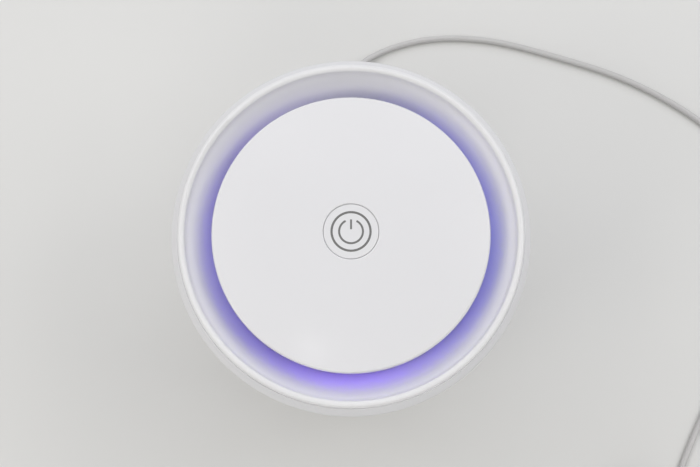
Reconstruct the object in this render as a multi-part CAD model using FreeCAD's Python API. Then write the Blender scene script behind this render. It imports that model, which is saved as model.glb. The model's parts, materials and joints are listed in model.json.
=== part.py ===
"""Round desktop air purifier: air enters through slots round the base, passes a ring filter and a
backward-curved fan, and leaves round a lit disc in the top.

Frame: millimetres, +Z up, origin on the table under the centre, +Y towards the back, where the cord
leaves. Housing parts, filter, fan, lamp and cord are each written to parts/NODE.step.
"""
import FreeCAD
import Part
import math
import os

V = FreeCAD.Vector
ORIGIN = V(0, 0, 0)
UP = V(0, 0, 1)

# General fits
WALL = 2.4  # housing walls
FACE_GAP = 0.3  # air between pieces that move past each other
SHADOW_GAP = 0.5  # visible line between two housing parts
LIP_GAP = 0.25  # lip to the body shell round it
HOLE_GAP = 0.1  # radial clearance of a screw or pad in its hole
RUNNING_GAP = 0.03  # radial clearance of the shaft in its bearings
OVER = 1.0  # how far cutters run past faces, and bosses into what carries them

# Side of the housing: a straight taper from base to shoulder
SHOULDER_RADIUS = 84.6
BASE_RADIUS = 78.0
SHOULDER_HEIGHT = 4.6  # slope between the lip and the side
SHOULDER_ROUND = 4.0
GROOVE_ROUND = 0.3  # inner edge of the shoulder

# Heights, stacked from the table upwards
FOOT_HEIGHT = 2.0
COVER_HEIGHT = 6.0  # visible side of the twist-off base
COVER_ROUND = 2.0
BAYONET_DEPTH = 1.8  # thickness of the ledges and of the lugs over them
FILTER_RIB = 1.6  # rib in the base that the filter stands over
FILTER_HEIGHT = 78.2
SEAL_HEIGHT = 3.5
PLATE = 2.5  # partition between filter and fan
DUCT_HEIGHT = 44.5
VANE_HEIGHT = 10.0
OUTLET_HEIGHT = 30.0  # vane ring to the crest of the lip

# Outlet bowl
LIP_INSET = 3.9  # shoulder's widest radius to the outside of the lip
LIP_WIDTH = 3.4
LIP_DEPTH = 3.2  # crest to the seat on the body shell
LIP_FACE = 4.5  # crest to where the bowl's wall turns inwards
LIP_STAND = 2.6  # crest above the shoulder
BOWL_WALL = 2.0
BOWL_BELLY = 1.4  # how far its wall bows out from the straight line
BOWL_ROUND = 50.0
BOWL_TOP_ROUND = 9.6
NECK_HEIGHT = 5.0
THROAT_ROUND = 5.0
SEAT_DEPTH = 2.0  # inner flange of the body shell under the lip

# Top disc and button
OUTLET_GAP = 12.3  # lip to disc
DISC_DROP = 1.8  # crest of the lip to the rim of the disc
DISC_CROWN = 4.0
DISC_WALL = 2.2
DISC_EDGE_ROUND = 1.2
SKIRT_HEIGHT = 10.2
DISC_RIB = (1.6, 5.0)  # width and depth of the ribs under the disc
BUTTON_RADIUS = 12.75
BUTTON_GAP = 0.15
BUTTON_RECESS = 0.62
BUTTON_EDGE_ROUND = 0.2
HOLE_ROUND = 0.7  # edge of the disc round the button
BUTTON_TRAVEL = 0.8
COLLAR_DEPTH = 9.2  # crown of the disc to the underside of the button's collar
COLLAR_WALL = 1.8
FLANGE_DEPTH = 1.5  # ring under the collar that keeps the button in
STEM_RADIUS = 2.2
STEM_DROP = 1.6
KEEPER_WIDTH = 1.2  # how far the keeper ring stands out past the button's hole
DISC_SCREW_COUNT = 3

# Lamp
DIFFUSER_WALL = 1.6
DIFFUSER_HEIGHT = 7.6
DIFFUSER_INSET = 5.0  # disc rim to the upright wall of the diffuser
LOCATING_LIP = 2.0
LOCATING_WALL = 1.2
TRAY_FLOOR = 2.0
TRAY_WALL = 1.9
TRAY_BOSS_HEIGHT = 6.0
LED_COUNT = 24
LED_WIDTH = 2.8
LED_DEPTH = 1.4
LED_HEIGHT = 1.6
LED_BOARD_WIDTH = 9.0
LED_BOARD_DEPTH = 1.2
LED_POST_COUNT = 6
LED_POST_RADIUS = 2.2
LED_POST_ANGLE = 15.0

# Control board and switch
BOARD_RADIUS = 30.0
BOARD_DEPTH = 1.6
BOARD_POST_COUNT = 3
BOARD_POST_RADIUS = 3.0
BOARD_POST_ANGLE = 30.0
BOARD_POST_INSET = 5.0  # edge of the board to its screws
CAPACITOR_RADIUS = 3.0
CAPACITOR_HEIGHT = 4.5
CAPACITOR_PLACE = (-6.0, -18.0)
BOARD_PART_SIZES = ((7.0, 7.0, 1.2), (5.0, 4.0, 1.2), (7.5, 4.0, 5.0), (5.0, 4.0, 5.0))
BOARD_PART_PLACES = ((-14.0, 4.0), (12.0, -12.0), (14.0, 5.0), (-3.0, 17.0))
SWITCH_WIDTH = 6.2
SWITCH_HEIGHT = 3.5
PLUNGER_RADIUS = 1.7
PLUNGER_STAND = 1.5
PLUNGER_REACH = 1.0  # how far the plunger stands in its well

# Fan duct, vanes and impeller
CHANNEL = 14.0  # width of the ring-shaped air channel
DUCT_WALL = 2.0
DUCT_FLANGE = 6.4
DUCT_FLANGE_DEPTH = 2.0
SLEEVE_WALL = 1.5
SLEEVE_REACH = 3.0
STRUT_WIDTH = 8.0  # hollow strut for the wires, in the place of one vane
POST_INSET = 8.0  # hub to the screws that hold the tray
VANE_COUNT = 24
VANE_DEPTH = 1.2
VANE_LEAN = 32.0
HUB_WALL = 2.5
TIP_GAP = 12.0  # impeller to duct
EYE_RADIUS = 35.0
EYE_GAP = 1.0  # bell mouth to the impeller's eye
BELL_WALL = 2.0
BELL_ROUND = 6.5
BELL_HEIGHT = 10.0
EYE_OVERLAP = 1.5
GUARD_MARGIN = 3.0  # bell mouth to the outside of the finger guard
GUARD_RIM_WIDTH = 2.4
GUARD_BAR = 1.6
GUARD_DEPTH = 1.5
GUARD_SPOKE_COUNT = 4
BLADE_COUNT = 9
BLADE_DEPTH = 1.6
BLADE_ROOT = 7.0  # how far the blades reach inside the eye
BLADE_SWEEP = 44.0  # degrees that a blade trails from root to tip
BLADE_BOW = 0.42  # share of that sweep at mid length
BLADE_HEIGHT = 18.0  # at the tip
BLADE_TIP_INSET = 0.5
BACK_PLATE = 2.0
SHROUD_WALL = 1.6
SHROUD_RISE = 3.0  # fall of the shroud from the tips to the eye's bend
BLADE_SINK = 0.8  # how far the blades stand into shroud and back plate
HUB_DEPTH = 21.0
HUB_CUP_WALL = 2.1
HUB_ROUND = 8.0
IMPELLER_FLOOR = 2.0

# Motor
ROTOR_RADIUS = 21.9
ROTOR_WALL = 1.2
MAGNET_DEPTH = 2.1
MAGNET_OVERHANG = 1.5
AIR_GAP = 0.5
SHAFT_RADIUS = 1.5
SHAFT_BOSS = (2.0, 0.8)  # width and height of the boss in the rotor cup
SHAFT_END_GAP = 0.5
BEARING_RADIUS = 4.0
BEARING_HEIGHT = 4.0
BEARING_TUBE_WALL = 1.9
TOOTH_COUNT = 9
STATOR_HEIGHT = 11.0
STATOR_DROP = 2.0  # back plate's underside to the core
TOOTH_WIDTH = 3.0
WINDING_DEPTH = 1.3
TOOTH_SHOE = 2.0
SHOE_SHARE = 0.75  # part of the pitch that a shoe covers
STATOR_HUB_WALL = 2.4
TUBE_STEP = 1.2  # bearing tube below the core
MOTOR_BOARD_DEPTH = 1.0
MOUNT_RADIUS = 29.0
MOUNT_DEPTH = 2.5
MOUNT_CLEARANCE = 3.0  # impeller to motor mount
DAMPER_HEIGHT = 3.5
DAMPER_RADIUS = 4.5
DAMPER_CIRCLE = 24.0
DAMPER_WAIST = 0.6
MOTOR_BOSS_DROP = 2.0  # top of the vane ring to the bosses for the motor's screws
MOTOR_SCREW_DROP = 4.0  # top of the vane ring to the tips of those screws

# Filter
PLENUM = 12.6  # filter to the inside of the housing
FILTER_CAP = 3.0
FILTER_BORE = 36.0
PREFILTER_WALL = 1.0
CARBON_WALL = 5.0
PLEAT_COUNT = 44
PLEAT_SHIFT = 4.0  # outer fold line to inner fold line of the medium
PREFILTER_GAP = 1.0
CARBON_GAP = 0.6
SEAL_WIDTH = 14.0
SEAL_BORE_GAP = 1.0  # finger guard to seal
TAB_SWEEP = 40.0
TAB_DEPTH = 0.8
TAB_INSET = 4.0

# Base and intake
SLOT_COUNT = 60
SLOT_WIDTH = 3.6
SLOT_SKIP_COUNT = 2  # slots left out on each side of the socket
SLOT_LOW = 12.0  # above the lower edge of the intake shell
SLOT_HIGH = 12.0  # below the partition
HOOP_DEPTH = 1.2
HOOP_HEIGHT = 2.0
LUG_COUNT = 4
LUG_ANGLE = 15.0
LUG_REACH = 3.0  # inside of the wall to the ring that carries the lugs
NOTCH_MARGIN = 1.0  # degrees on each side of a lug
SEAT_LEDGE = 6.0  # ledge inside the wall that the partition rests on
RIB_INSET = 4.0
RIB_WIDTH = 2.0
UNLOCK_ANGLE = 18.0
GRIP_RADIUS = 32.4
GRIP_DEPTH = 10.0
GRIP_BAR = 12.0
GRIP_BAR_RISE = 0.8  # bar above the lower face of the base
FOOT_RADIUS = 6.0
FOOT_SINK = 1.0
FOOT_COUNT = 4

# Screws
SCREW_RADIUS = 1.4
HEAD_RADIUS = 2.5
HEAD_DEPTH = 1.9
BOSS_RADIUS = 3.4
PLATE_BOSS_RADIUS = 2.8
PLATE_BOSS_HEIGHT = 7.0
SCREW_END = 2.0  # hole or boss past the tip of a screw
SHELL_BOSS_HEIGHT = 13.0
SHELL_SCREW_COUNT = 4
DUCT_SCREW_COUNT = 4
DUCT_SCREW_ANGLE = 20.0
DUCT_SCREW_LENGTH = 6.0

# Power socket, plug and cord
SOCKET_HEIGHT = 20.0  # axis above the table
SOCKET_RADIUS = 5.0
SOCKET_FLANGE = 1.5
SOCKET_RECESS = 0.8
SOCKET_PAD = (17.0, 12.0, 13.6)  # flat inside the wall: width, depth, height
PAD_DEPTH = 3.5  # inside of the wall to the face of the pad
SOCKET_BACK_GAP = 2.5  # filter to the back of the socket
JACK_RADIUS = 2.75
JACK_GAP = 0.08
JACK_END_GAP = 0.5
JACK_LENGTH = 9.5
PIN_RADIUS = 0.9
PIN_RECESS = 1.5
PLUG_RADIUS = 4.6
PLUG_LENGTH = 13.0
RELIEF_LENGTH = 12.0
RELIEF_RIB_COUNT = 4
RELIEF_STEP = 1.4  # grip to the first rib
RIB_DEPTH = 0.7
BARREL_HOLD = 3.0  # barrel inside the grip
CORD_RADIUS = 1.8
WIRE_RADIUS = 1.3
HARNESS_RISE = 38.0  # upright run through the tray's floor
HARNESS_TERMINAL = 3.0  # back of the socket, or edge of the board, to the wires
HARNESS_STEP = 10.0
HARNESS_DROP = 4.0  # board to the wires under it
LEAD_WIRE_RADIUS = 1.0
LEAD_INSET = 4.1  # edge of the motor's board to its wires
ARC_SHARE = 0.45  # part of the shorter run that a bend of the cord takes up
USB_BODY = (24.0, 16.0, 8.0)  # length, width, height
USB_SHELL = (12.0, 12.0, 4.5)
USB_SHELL_WALL = 0.4
USB_RELIEF = 11.0
USB_ROUND = 1.6
USB_TONGUE_SHARE = 0.42  # height of the tongue to that of the shell
COIL_RIGHT = 172.0
COIL_FRONT = 148.0
COIL_RADIUS = 21.0  # middle of the turns
COIL_WIDTH = 7.7
COIL_HEIGHT = 11.0
COIL_LIFT = 0.8
TIE_WIDTH = 8.0
TIE_DEPTH = 0.5
TIE_ANGLE = 180.0

# Route of the cord down behind the housing, round to the right and back to the coil
CORD_ROUTE = (
    V(0.0, 113.5, 20.0),
    V(1.2, 123.2, 15.4),
    V(4.6, 131.4, 9.0),
    V(10.8, 138.0, 3.8),
    V(19.6, 143.2, 1.9),
    V(30.5, 147.4, 1.9),
    V(43.5, 150.8, 1.9),
    V(58.5, 152.6, 1.9),
    V(76.0, 152.4, 1.9),
    V(94.0, 150.2, 1.9),
    V(113.0, 145.6, 1.9),
    V(140.0, 137.6, 1.9),
    V(168.0, 128.6, 1.9),
    V(196.0, 115.2, 1.9),
    V(222.0, 98.2, 1.9),
    V(243.0, 79.0, 1.9),
    V(256.0, 56.0, 1.9),
    V(260.0, 30.0, 1.9),
    V(256.5, 3.0, 1.9),
    V(247.0, -24.0, 1.9),
    V(231.5, -54.0, 1.9),
    V(214.5, -86.5, 1.9),
    V(201.0, -115.0, 1.9),
    V(194.4, -134.0, 2.3),
)
TAIL_ROUTE = (
    V(161.5, -169.8, 3.6),
    V(151.0, -171.0, 4.0),
)

# Levels that follow from the stack
BASE_Z = FOOT_HEIGHT
COVER_FLOOR = BASE_Z + WALL
COVER_TOP = BASE_Z + COVER_HEIGHT
INTAKE_LOW = COVER_TOP + SHADOW_GAP
LEDGE_TOP = INTAKE_LOW + BAYONET_DEPTH
LUG_LOW = LEDGE_TOP + FACE_GAP
LUG_TOP = LUG_LOW + BAYONET_DEPTH
FILTER_LOW = COVER_FLOOR + FILTER_RIB + FACE_GAP
FILTER_TOP = FILTER_LOW + FILTER_HEIGHT
PLATE_LOW = FILTER_TOP + SEAL_HEIGHT
PLATE_TOP = PLATE_LOW + PLATE
INTAKE_TOP = (PLATE_LOW + PLATE_TOP - SHADOW_GAP) / 2
BODY_LOW = INTAKE_TOP + SHADOW_GAP
DUCT_TOP = PLATE_TOP + DUCT_HEIGHT
VANE_TOP = DUCT_TOP + VANE_HEIGHT
THROAT_Z = VANE_TOP + NECK_HEIGHT
CREST_Z = VANE_TOP + OUTLET_HEIGHT
LIP_SEAT = CREST_Z - LIP_DEPTH
SHOULDER_Z = CREST_Z - LIP_STAND
SHOULDER_LOW = SHOULDER_Z - SHOULDER_HEIGHT
BOWL_TOP = CREST_Z - LIP_FACE
DISC_EDGE = CREST_Z - DISC_DROP
DISC_TOP = DISC_EDGE + DISC_CROWN
SKIRT_LOW = DISC_EDGE - SKIRT_HEIGHT
TRAY_RIM = SKIRT_LOW - DIFFUSER_HEIGHT
LED_BOARD_Z = TRAY_RIM + LOCATING_LIP / 2
BUTTON_TOP = DISC_TOP - BUTTON_RECESS
COLLAR_Z = DISC_TOP - COLLAR_DEPTH
FLANGE_TOP = COLLAR_Z - FACE_GAP
FLANGE_LOW = FLANGE_TOP - FLANGE_DEPTH
PLUNGER_TOP = FLANGE_LOW - STEM_DROP
SWITCH_TOP = PLUNGER_TOP - PLUNGER_STAND
BOARD_TOP = SWITCH_TOP - SWITCH_HEIGHT
BOARD_LOW = BOARD_TOP - BOARD_DEPTH
TRAY_TOP = VANE_TOP + TRAY_FLOOR
HUB_FLOOR_TOP = DUCT_TOP + HUB_WALL
CROSSING_Z = DUCT_TOP + VANE_HEIGHT / 2  # wires pass through the hollow strut
DAMPER_LOW = DUCT_TOP - DAMPER_HEIGHT
MOUNT_LOW = DAMPER_LOW - MOUNT_DEPTH
IMPELLER_TOP = MOUNT_LOW - MOUNT_CLEARANCE
BLADE_TOP = IMPELLER_TOP - BACK_PLATE
TIP_LOW = BLADE_TOP - BLADE_HEIGHT
BELL_TOP = PLATE_LOW + BELL_HEIGHT
EYE_LOW = BELL_TOP - EYE_OVERLAP
HUB_LOW = IMPELLER_TOP - HUB_DEPTH



def side(z):
    """Outer radius of the tapered side at a height."""
    rise = (z - BASE_Z) / (SHOULDER_LOW - BASE_Z)
    return BASE_RADIUS + (SHOULDER_RADIUS - BASE_RADIUS) * rise


def inner(z):
    """Inner radius of the housing wall at a height."""
    return side(z) - WALL


def crown(radius):
    """Height of the top disc's surface at a radius."""
    return DISC_TOP - radius ** 2 / (2 * CROWN_RADIUS)


# Radii that follow from the side
BAYONET_RING = inner(LUG_LOW) - LUG_REACH
LEDGE_RADIUS = BAYONET_RING + FACE_GAP
PLATE_SEAT = inner(PLATE_LOW) - SEAT_LEDGE
LEDGE_SLOPE = PLATE_LOW - BAYONET_DEPTH - SEAT_LEDGE  # foot of the ledge's underside
SHELL_BOSS_CIRCLE = inner(PLATE_LOW) - BOSS_RADIUS + 0.5
FILTER_RADIUS = BASE_RADIUS - WALL - PLENUM
LIP_RADIUS = SHOULDER_RADIUS - LIP_INSET
LIP_INNER = LIP_RADIUS - LIP_WIDTH
GROOVE_RADIUS = LIP_RADIUS + LIP_GAP
DISC_RADIUS = LIP_INNER - OUTLET_GAP
CROWN_RADIUS = (DISC_RADIUS ** 2 + DISC_CROWN ** 2) / (2 * DISC_CROWN)
DIFFUSER_RADIUS = DISC_RADIUS - DIFFUSER_INSET
DIFFUSER_BORE = DIFFUSER_RADIUS - DIFFUSER_WALL
SKIRT_BORE = DISC_RADIUS - DISC_WALL
LOCATING_BORE = DIFFUSER_BORE - LOCATING_WALL

# Radii of the air path: the duct's flange fits inside the bosses of the housing
DUCT_RADIUS = SHELL_BOSS_CIRCLE - BOSS_RADIUS - FACE_GAP - DUCT_FLANGE
NECK_RADIUS = DUCT_RADIUS - DUCT_WALL
HUB_RADIUS = NECK_RADIUS - CHANNEL
IMPELLER_RADIUS = NECK_RADIUS - TIP_GAP
SLEEVE_RADIUS = DUCT_RADIUS + HOLE_GAP
POST_CIRCLE = HUB_RADIUS - POST_INSET
DUCT_SCREW_CIRCLE = DUCT_RADIUS + DUCT_FLANGE - HEAD_RADIUS - FACE_GAP
HARNESS_RADIUS = DUCT_RADIUS + DUCT_FLANGE + FACE_GAP + WIRE_RADIUS
BELL_RADIUS = EYE_RADIUS - EYE_GAP - BELL_WALL
GUARD_RADIUS = BELL_RADIUS + BELL_ROUND + GUARD_MARGIN

# Holes, button and motor
HOLE_RADIUS = BUTTON_RADIUS + BUTTON_GAP
COLLAR_RADIUS = HOLE_RADIUS + COLLAR_WALL
SCREW_HOLE = SCREW_RADIUS + HOLE_GAP
HEAD_HOLE = HEAD_RADIUS + HOLE_GAP
WIRE_HOLE = WIRE_RADIUS + FACE_GAP
BOARD_SCREW_CIRCLE = BOARD_RADIUS - BOARD_POST_INSET
MAGNET_RADIUS = ROTOR_RADIUS - ROTOR_WALL
STATOR_RADIUS = MAGNET_RADIUS - MAGNET_DEPTH - AIR_GAP
MOTOR_BOARD_RADIUS = STATOR_RADIUS - TOOTH_SHOE / 2
MOTOR_LEAD = MOTOR_BOARD_RADIUS - LEAD_INSET
TUBE_RADIUS = BEARING_RADIUS + BEARING_TUBE_WALL
ROTOR_FLOOR = HUB_LOW + IMPELLER_FLOOR
STATOR_LOW = BLADE_TOP - STATOR_HEIGHT - STATOR_DROP
STATOR_TOP = STATOR_LOW + STATOR_HEIGHT
TUBE_LOW = STATOR_LOW - TUBE_STEP
MOTOR_BOARD_LOW = STATOR_TOP + WINDING_DEPTH + FACE_GAP

# Places along the axis of the socket, and the coil of the cord
SOCKET_FACE = side(SOCKET_HEIGHT) - SOCKET_RECESS
SOCKET_REAR = FILTER_RADIUS + SOCKET_BACK_GAP
PAD_FACE = inner(SOCKET_HEIGHT) - PAD_DEPTH
PLUG_FACE = side(SOCKET_HEIGHT) + FACE_GAP
RELIEF_FACE = PLUG_FACE + PLUG_LENGTH
CORD_START = RELIEF_FACE + RELIEF_LENGTH
COIL_CENTRE = V(COIL_RIGHT, -COIL_FRONT, 0)


# Shape helpers

def outline(corners):
    """Closed wire through (r, z) corners in the XZ plane; a third value rounds its corner."""
    points = [V(corner[0], 0, corner[1]) for corner in corners]
    count = len(points)
    halves = []
    reaches = []
    for i, corner in enumerate(corners):
        half = (points[i - 1] - points[i]).getAngle(points[(i + 1) % count] - points[i]) / 2
        radius = corner[2] if len(corner) == 3 else 0.0
        halves.append(half)
        reaches.append(radius / math.tan(half))
    for i in range(count):
        following = (i + 1) % count
        crowding = (reaches[i] + reaches[following]) / points[i].distanceToPoint(points[following])
        if crowding > 1:
            reaches[i] /= crowding
            reaches[following] /= crowding
    edges = []
    starts = []
    for i, point in enumerate(points):
        enter, middle, leave = bend(points[i - 1], point, points[(i + 1) % count], reaches[i], halves[i])
        starts.append(enter)
        if reaches[i] > 0:
            edges.append(Part.Arc(enter, middle, leave))
        edges.append((leave, (i + 1) % count))
    curves = []
    for edge in edges:
        if isinstance(edge, tuple):
            if edge[0].distanceToPoint(starts[edge[1]]) < 1e-6:
                continue
            edge = Part.LineSegment(edge[0], starts[edge[1]])
        curves.append(edge.toShape())
    return Part.Wire(curves)


def bend(before, corner, after, reach, half):
    """Start, middle and end of the arc that rounds a corner, reach away from it."""
    back = (before - corner).normalize()
    ahead = (after - corner).normalize()
    towards = (back + ahead).normalize()
    radius = reach * math.tan(half)
    middle = corner + towards * (radius / math.sin(half) - radius)
    return corner + back * reach, middle, corner + ahead * reach


def turned(corners, sweep=360.0, start=0.0):
    """Solid of revolution about the vertical axis."""
    solid = Part.Face(outline(corners)).revolve(ORIGIN, UP, sweep)
    solid.rotate(ORIGIN, UP, start)
    return solid


def ring(bore, radius, low, high):
    """Flat ring."""
    return turned([(bore, low), (radius, low), (radius, high), (bore, high)])


def post(radius, low, high, circle=0.0):
    """Upright round bar, circle away from the axis along +X."""
    return Part.makeCylinder(radius, high - low, V(circle, 0, low))


def block(size, centre):
    """Box of a size about a centre."""
    corner = V(centre[0] - size[0] / 2, centre[1] - size[1] / 2, centre[2] - size[2] / 2)
    return Part.makeBox(size[0], size[1], size[2], corner)


def around(shape, count, first=0.0):
    """Copies of a shape spaced evenly about the vertical axis."""
    copies = []
    for i in range(count):
        copy = shape.copy()
        copy.rotate(ORIGIN, UP, first + 360.0 * i / count)
        copies.append(copy)
    return copies


def between(count):
    """Half the angle from one copy of an even pattern to the next."""
    return 180.0 / count


def behind(shape):
    """A shape built over +X, turned to the back of the housing."""
    return around(shape, 1, 90)[0]


def flipped(shape, level):
    """A shape built up from zero, turned over so that it hangs from a level."""
    shape.rotate(ORIGIN, V(1, 0, 0), 180)
    shape.translate(V(0, 0, level))
    return shape


def joined(shape, others):
    """One solid fused from several."""
    return shape.fuse(others).removeSplitter()


def shifted(path, distance):
    """The (r, z) path moved to its left by a distance, with its corners mitred."""
    points = [V(corner[0], 0, corner[1]) for corner in path]
    normals = []
    for start, end in zip(points, points[1:]):
        along = (end - start).normalize()
        normals.append(V(-along.z, 0, along.x))
    moved = []
    for i, point in enumerate(points):
        before = normals[max(i - 1, 0)]
        after = normals[min(i, len(normals) - 1)]
        place = point + (before + after) * (distance / (1 + before.dot(after)))
        turn = before.x * after.z - before.z * after.x
        radius = path[i][2] if len(path[i]) == 3 else 0.0
        if radius > 0:
            radius = max(radius - math.copysign(distance, turn * distance), 0.0)
        moved.append((place.x, place.z, radius))
    return moved


def walled(path, wall):
    """Corners of a wall of even thickness that follows a path, on its left where wall is positive."""
    return list(path) + shifted(path, wall)[::-1]


def upright_slot(width, low, high, near, far):
    """Cutter for a vertical slot with round ends, reaching from near to far along +X."""
    half = width / 2
    right = Part.LineSegment(V(near, half, low + half), V(near, half, high - half))
    top = Part.Arc(V(near, half, high - half), V(near, 0, high), V(near, -half, high - half))
    left = Part.LineSegment(V(near, -half, high - half), V(near, -half, low + half))
    bottom = Part.Arc(V(near, -half, low + half), V(near, 0, low), V(near, half, low + half))
    wire = Part.Wire([right.toShape(), top.toShape(), left.toShape(), bottom.toShape()])
    return Part.Face(wire).extrude(V(far - near, 0, 0))


def backwards(shape):
    """A shape built about Z, laid along +Y at the height of the power socket."""
    laid = shape.copy()
    laid.rotate(ORIGIN, V(1, 0, 0), -90)
    laid.translate(V(0, 0, SOCKET_HEIGHT))
    return laid


def inside(gap, low, high):
    """Everything inside the side of the housing, a gap in from its outer face."""
    return turned([(0, low), (side(low) - gap, low), (side(high) - gap, high), (0, high)])


def screws(low, length, circle):
    """Pan-head screw that points up, with its head's underside at low."""
    head = post(HEAD_RADIUS, low - HEAD_DEPTH, low, circle)
    return joined(head, [post(SCREW_RADIUS, low - HEAD_DEPTH / 2, low + length, circle)])


# Housing

def bowl_path():
    """Air side of the bowl, from the crest of the lip down to the neck."""
    middle = V((LIP_INNER + NECK_RADIUS) / 2, 0, (BOWL_TOP + THROAT_Z) / 2)
    along = V(NECK_RADIUS - LIP_INNER, 0, THROAT_Z - BOWL_TOP).normalize()
    belly = middle + V(-along.z, 0, along.x) * BOWL_BELLY
    return [
        (LIP_INNER, CREST_Z, LIP_WIDTH / 2 - 0.01),
        (LIP_INNER, BOWL_TOP, BOWL_TOP_ROUND),
        (belly.x, belly.z, BOWL_ROUND),
        (NECK_RADIUS, THROAT_Z, THROAT_ROUND),
        (NECK_RADIUS, VANE_TOP),
    ]


def outlet_bowl():
    """Bowl round the outlet: rolled lip, bowed wall, and a neck that stands on the vane ring."""
    air_side = bowl_path()
    back = shifted(air_side, BOWL_WALL)[:0:-1]
    lip = [(LIP_RADIUS, LIP_SEAT), (LIP_RADIUS, CREST_Z, LIP_WIDTH / 2 - 0.01)]
    return turned(lip + air_side + back + [(LIP_INNER + BOWL_WALL, LIP_SEAT)])


def body_shell():
    """Upper housing: tapered side, sloping shoulder, seat for the lip and screw bosses."""
    flange = LIP_INNER + BOWL_WALL + FACE_GAP
    slope = SHOULDER_LOW - WALL / 3
    shell = turned([
        (side(BODY_LOW), BODY_LOW),
        (SHOULDER_RADIUS, SHOULDER_LOW, SHOULDER_ROUND),
        (GROOVE_RADIUS, SHOULDER_Z, GROOVE_ROUND),
        (GROOVE_RADIUS, LIP_SEAT),
        (flange, LIP_SEAT),
        (flange, LIP_SEAT - SEAT_DEPTH),
        (inner(slope), slope),
        (inner(BODY_LOW), BODY_LOW),
    ])
    top = PLATE_TOP + SHELL_BOSS_HEIGHT
    boss = post(BOSS_RADIUS, PLATE_TOP, top, SHELL_BOSS_CIRCLE)
    hole = post(SCREW_HOLE, BODY_LOW - OVER, top - SCREW_END, SHELL_BOSS_CIRCLE)
    reach = BOSS_RADIUS + WALL
    web = block((reach, WALL, SHELL_BOSS_HEIGHT), (SHELL_BOSS_CIRCLE + reach / 2, 0, (PLATE_TOP + top) / 2))
    web = web.common(inside(WALL / 2, BODY_LOW, SHOULDER_LOW))
    turn = between(SHELL_SCREW_COUNT)
    shell = joined(shell, around(boss, SHELL_SCREW_COUNT, turn) + around(web, SHELL_SCREW_COUNT, turn))
    return shell.cut(around(hole, SHELL_SCREW_COUNT, turn))


def intake_slots():
    """Cutters for the intake slots, with none beside the socket."""
    low = INTAKE_LOW + SLOT_LOW
    high = PLATE_LOW - SLOT_HIGH
    cutter = upright_slot(SLOT_WIDTH, low, high, inner(low) - OVER, side(high) + OVER)
    cutters = around(cutter, SLOT_COUNT, 90)
    return cutters[SLOT_SKIP_COUNT + 1:SLOT_COUNT - SLOT_SKIP_COUNT]


def intake_shell():
    """Lower housing: slotted side, ledge under the partition, bayonet ledges and socket pad."""
    hoop = (INTAKE_LOW + PLATE_LOW) / 2
    shell = turned([
        (side(INTAKE_LOW), INTAKE_LOW),
        (side(INTAKE_TOP), INTAKE_TOP),
        (inner(INTAKE_TOP), INTAKE_TOP),
        (inner(PLATE_LOW), PLATE_LOW),
        (PLATE_SEAT, PLATE_LOW),
        (PLATE_SEAT, PLATE_LOW - BAYONET_DEPTH),
        (inner(LEDGE_SLOPE), LEDGE_SLOPE),
        (inner(LEDGE_TOP), LEDGE_TOP),
        (LEDGE_RADIUS, LEDGE_TOP),
        (LEDGE_RADIUS, INTAKE_LOW),
    ])
    shell = shell.cut(intake_slots())
    low = hoop - HOOP_HEIGHT / 2
    brace = ring(inner(hoop) - HOOP_DEPTH, inner(hoop) + WALL / 2, low, low + HOOP_HEIGHT)
    boss = post(BOSS_RADIUS, LEDGE_SLOPE, PLATE_LOW, SHELL_BOSS_CIRCLE)
    pad = block(SOCKET_PAD, (0, PAD_FACE + SOCKET_PAD[1] / 2, SOCKET_HEIGHT))
    pad = pad.common(inside(WALL / 2, COVER_TOP, PLATE_LOW))
    turn = between(SHELL_SCREW_COUNT)
    shell = joined(shell, [brace, pad] + around(boss, SHELL_SCREW_COUNT, turn))
    sweep = LUG_ANGLE + 2 * NOTCH_MARGIN
    notch = turned([
        (LEDGE_RADIUS - OVER, INTAKE_LOW - OVER),
        (inner(INTAKE_LOW), INTAKE_LOW - OVER),
        (inner(LEDGE_TOP), LEDGE_TOP),
        (LEDGE_RADIUS - OVER, LEDGE_TOP),
    ], sweep, -UNLOCK_ANGLE - sweep / 2)
    screw = post(SCREW_HOLE, LEDGE_SLOPE - OVER, PLATE_LOW + OVER, SHELL_BOSS_CIRCLE)
    socket = backwards(post(SOCKET_RADIUS + HOLE_GAP, SOCKET_REAR, side(SOCKET_HEIGHT) + OVER))
    wires = behind(post(WIRE_HOLE, LEDGE_SLOPE - OVER, PLATE_LOW + OVER, HARNESS_RADIUS))
    screws = around(screw, SHELL_SCREW_COUNT, turn)
    return shell.cut(around(notch, LUG_COUNT) + screws + [socket, wires])


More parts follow.
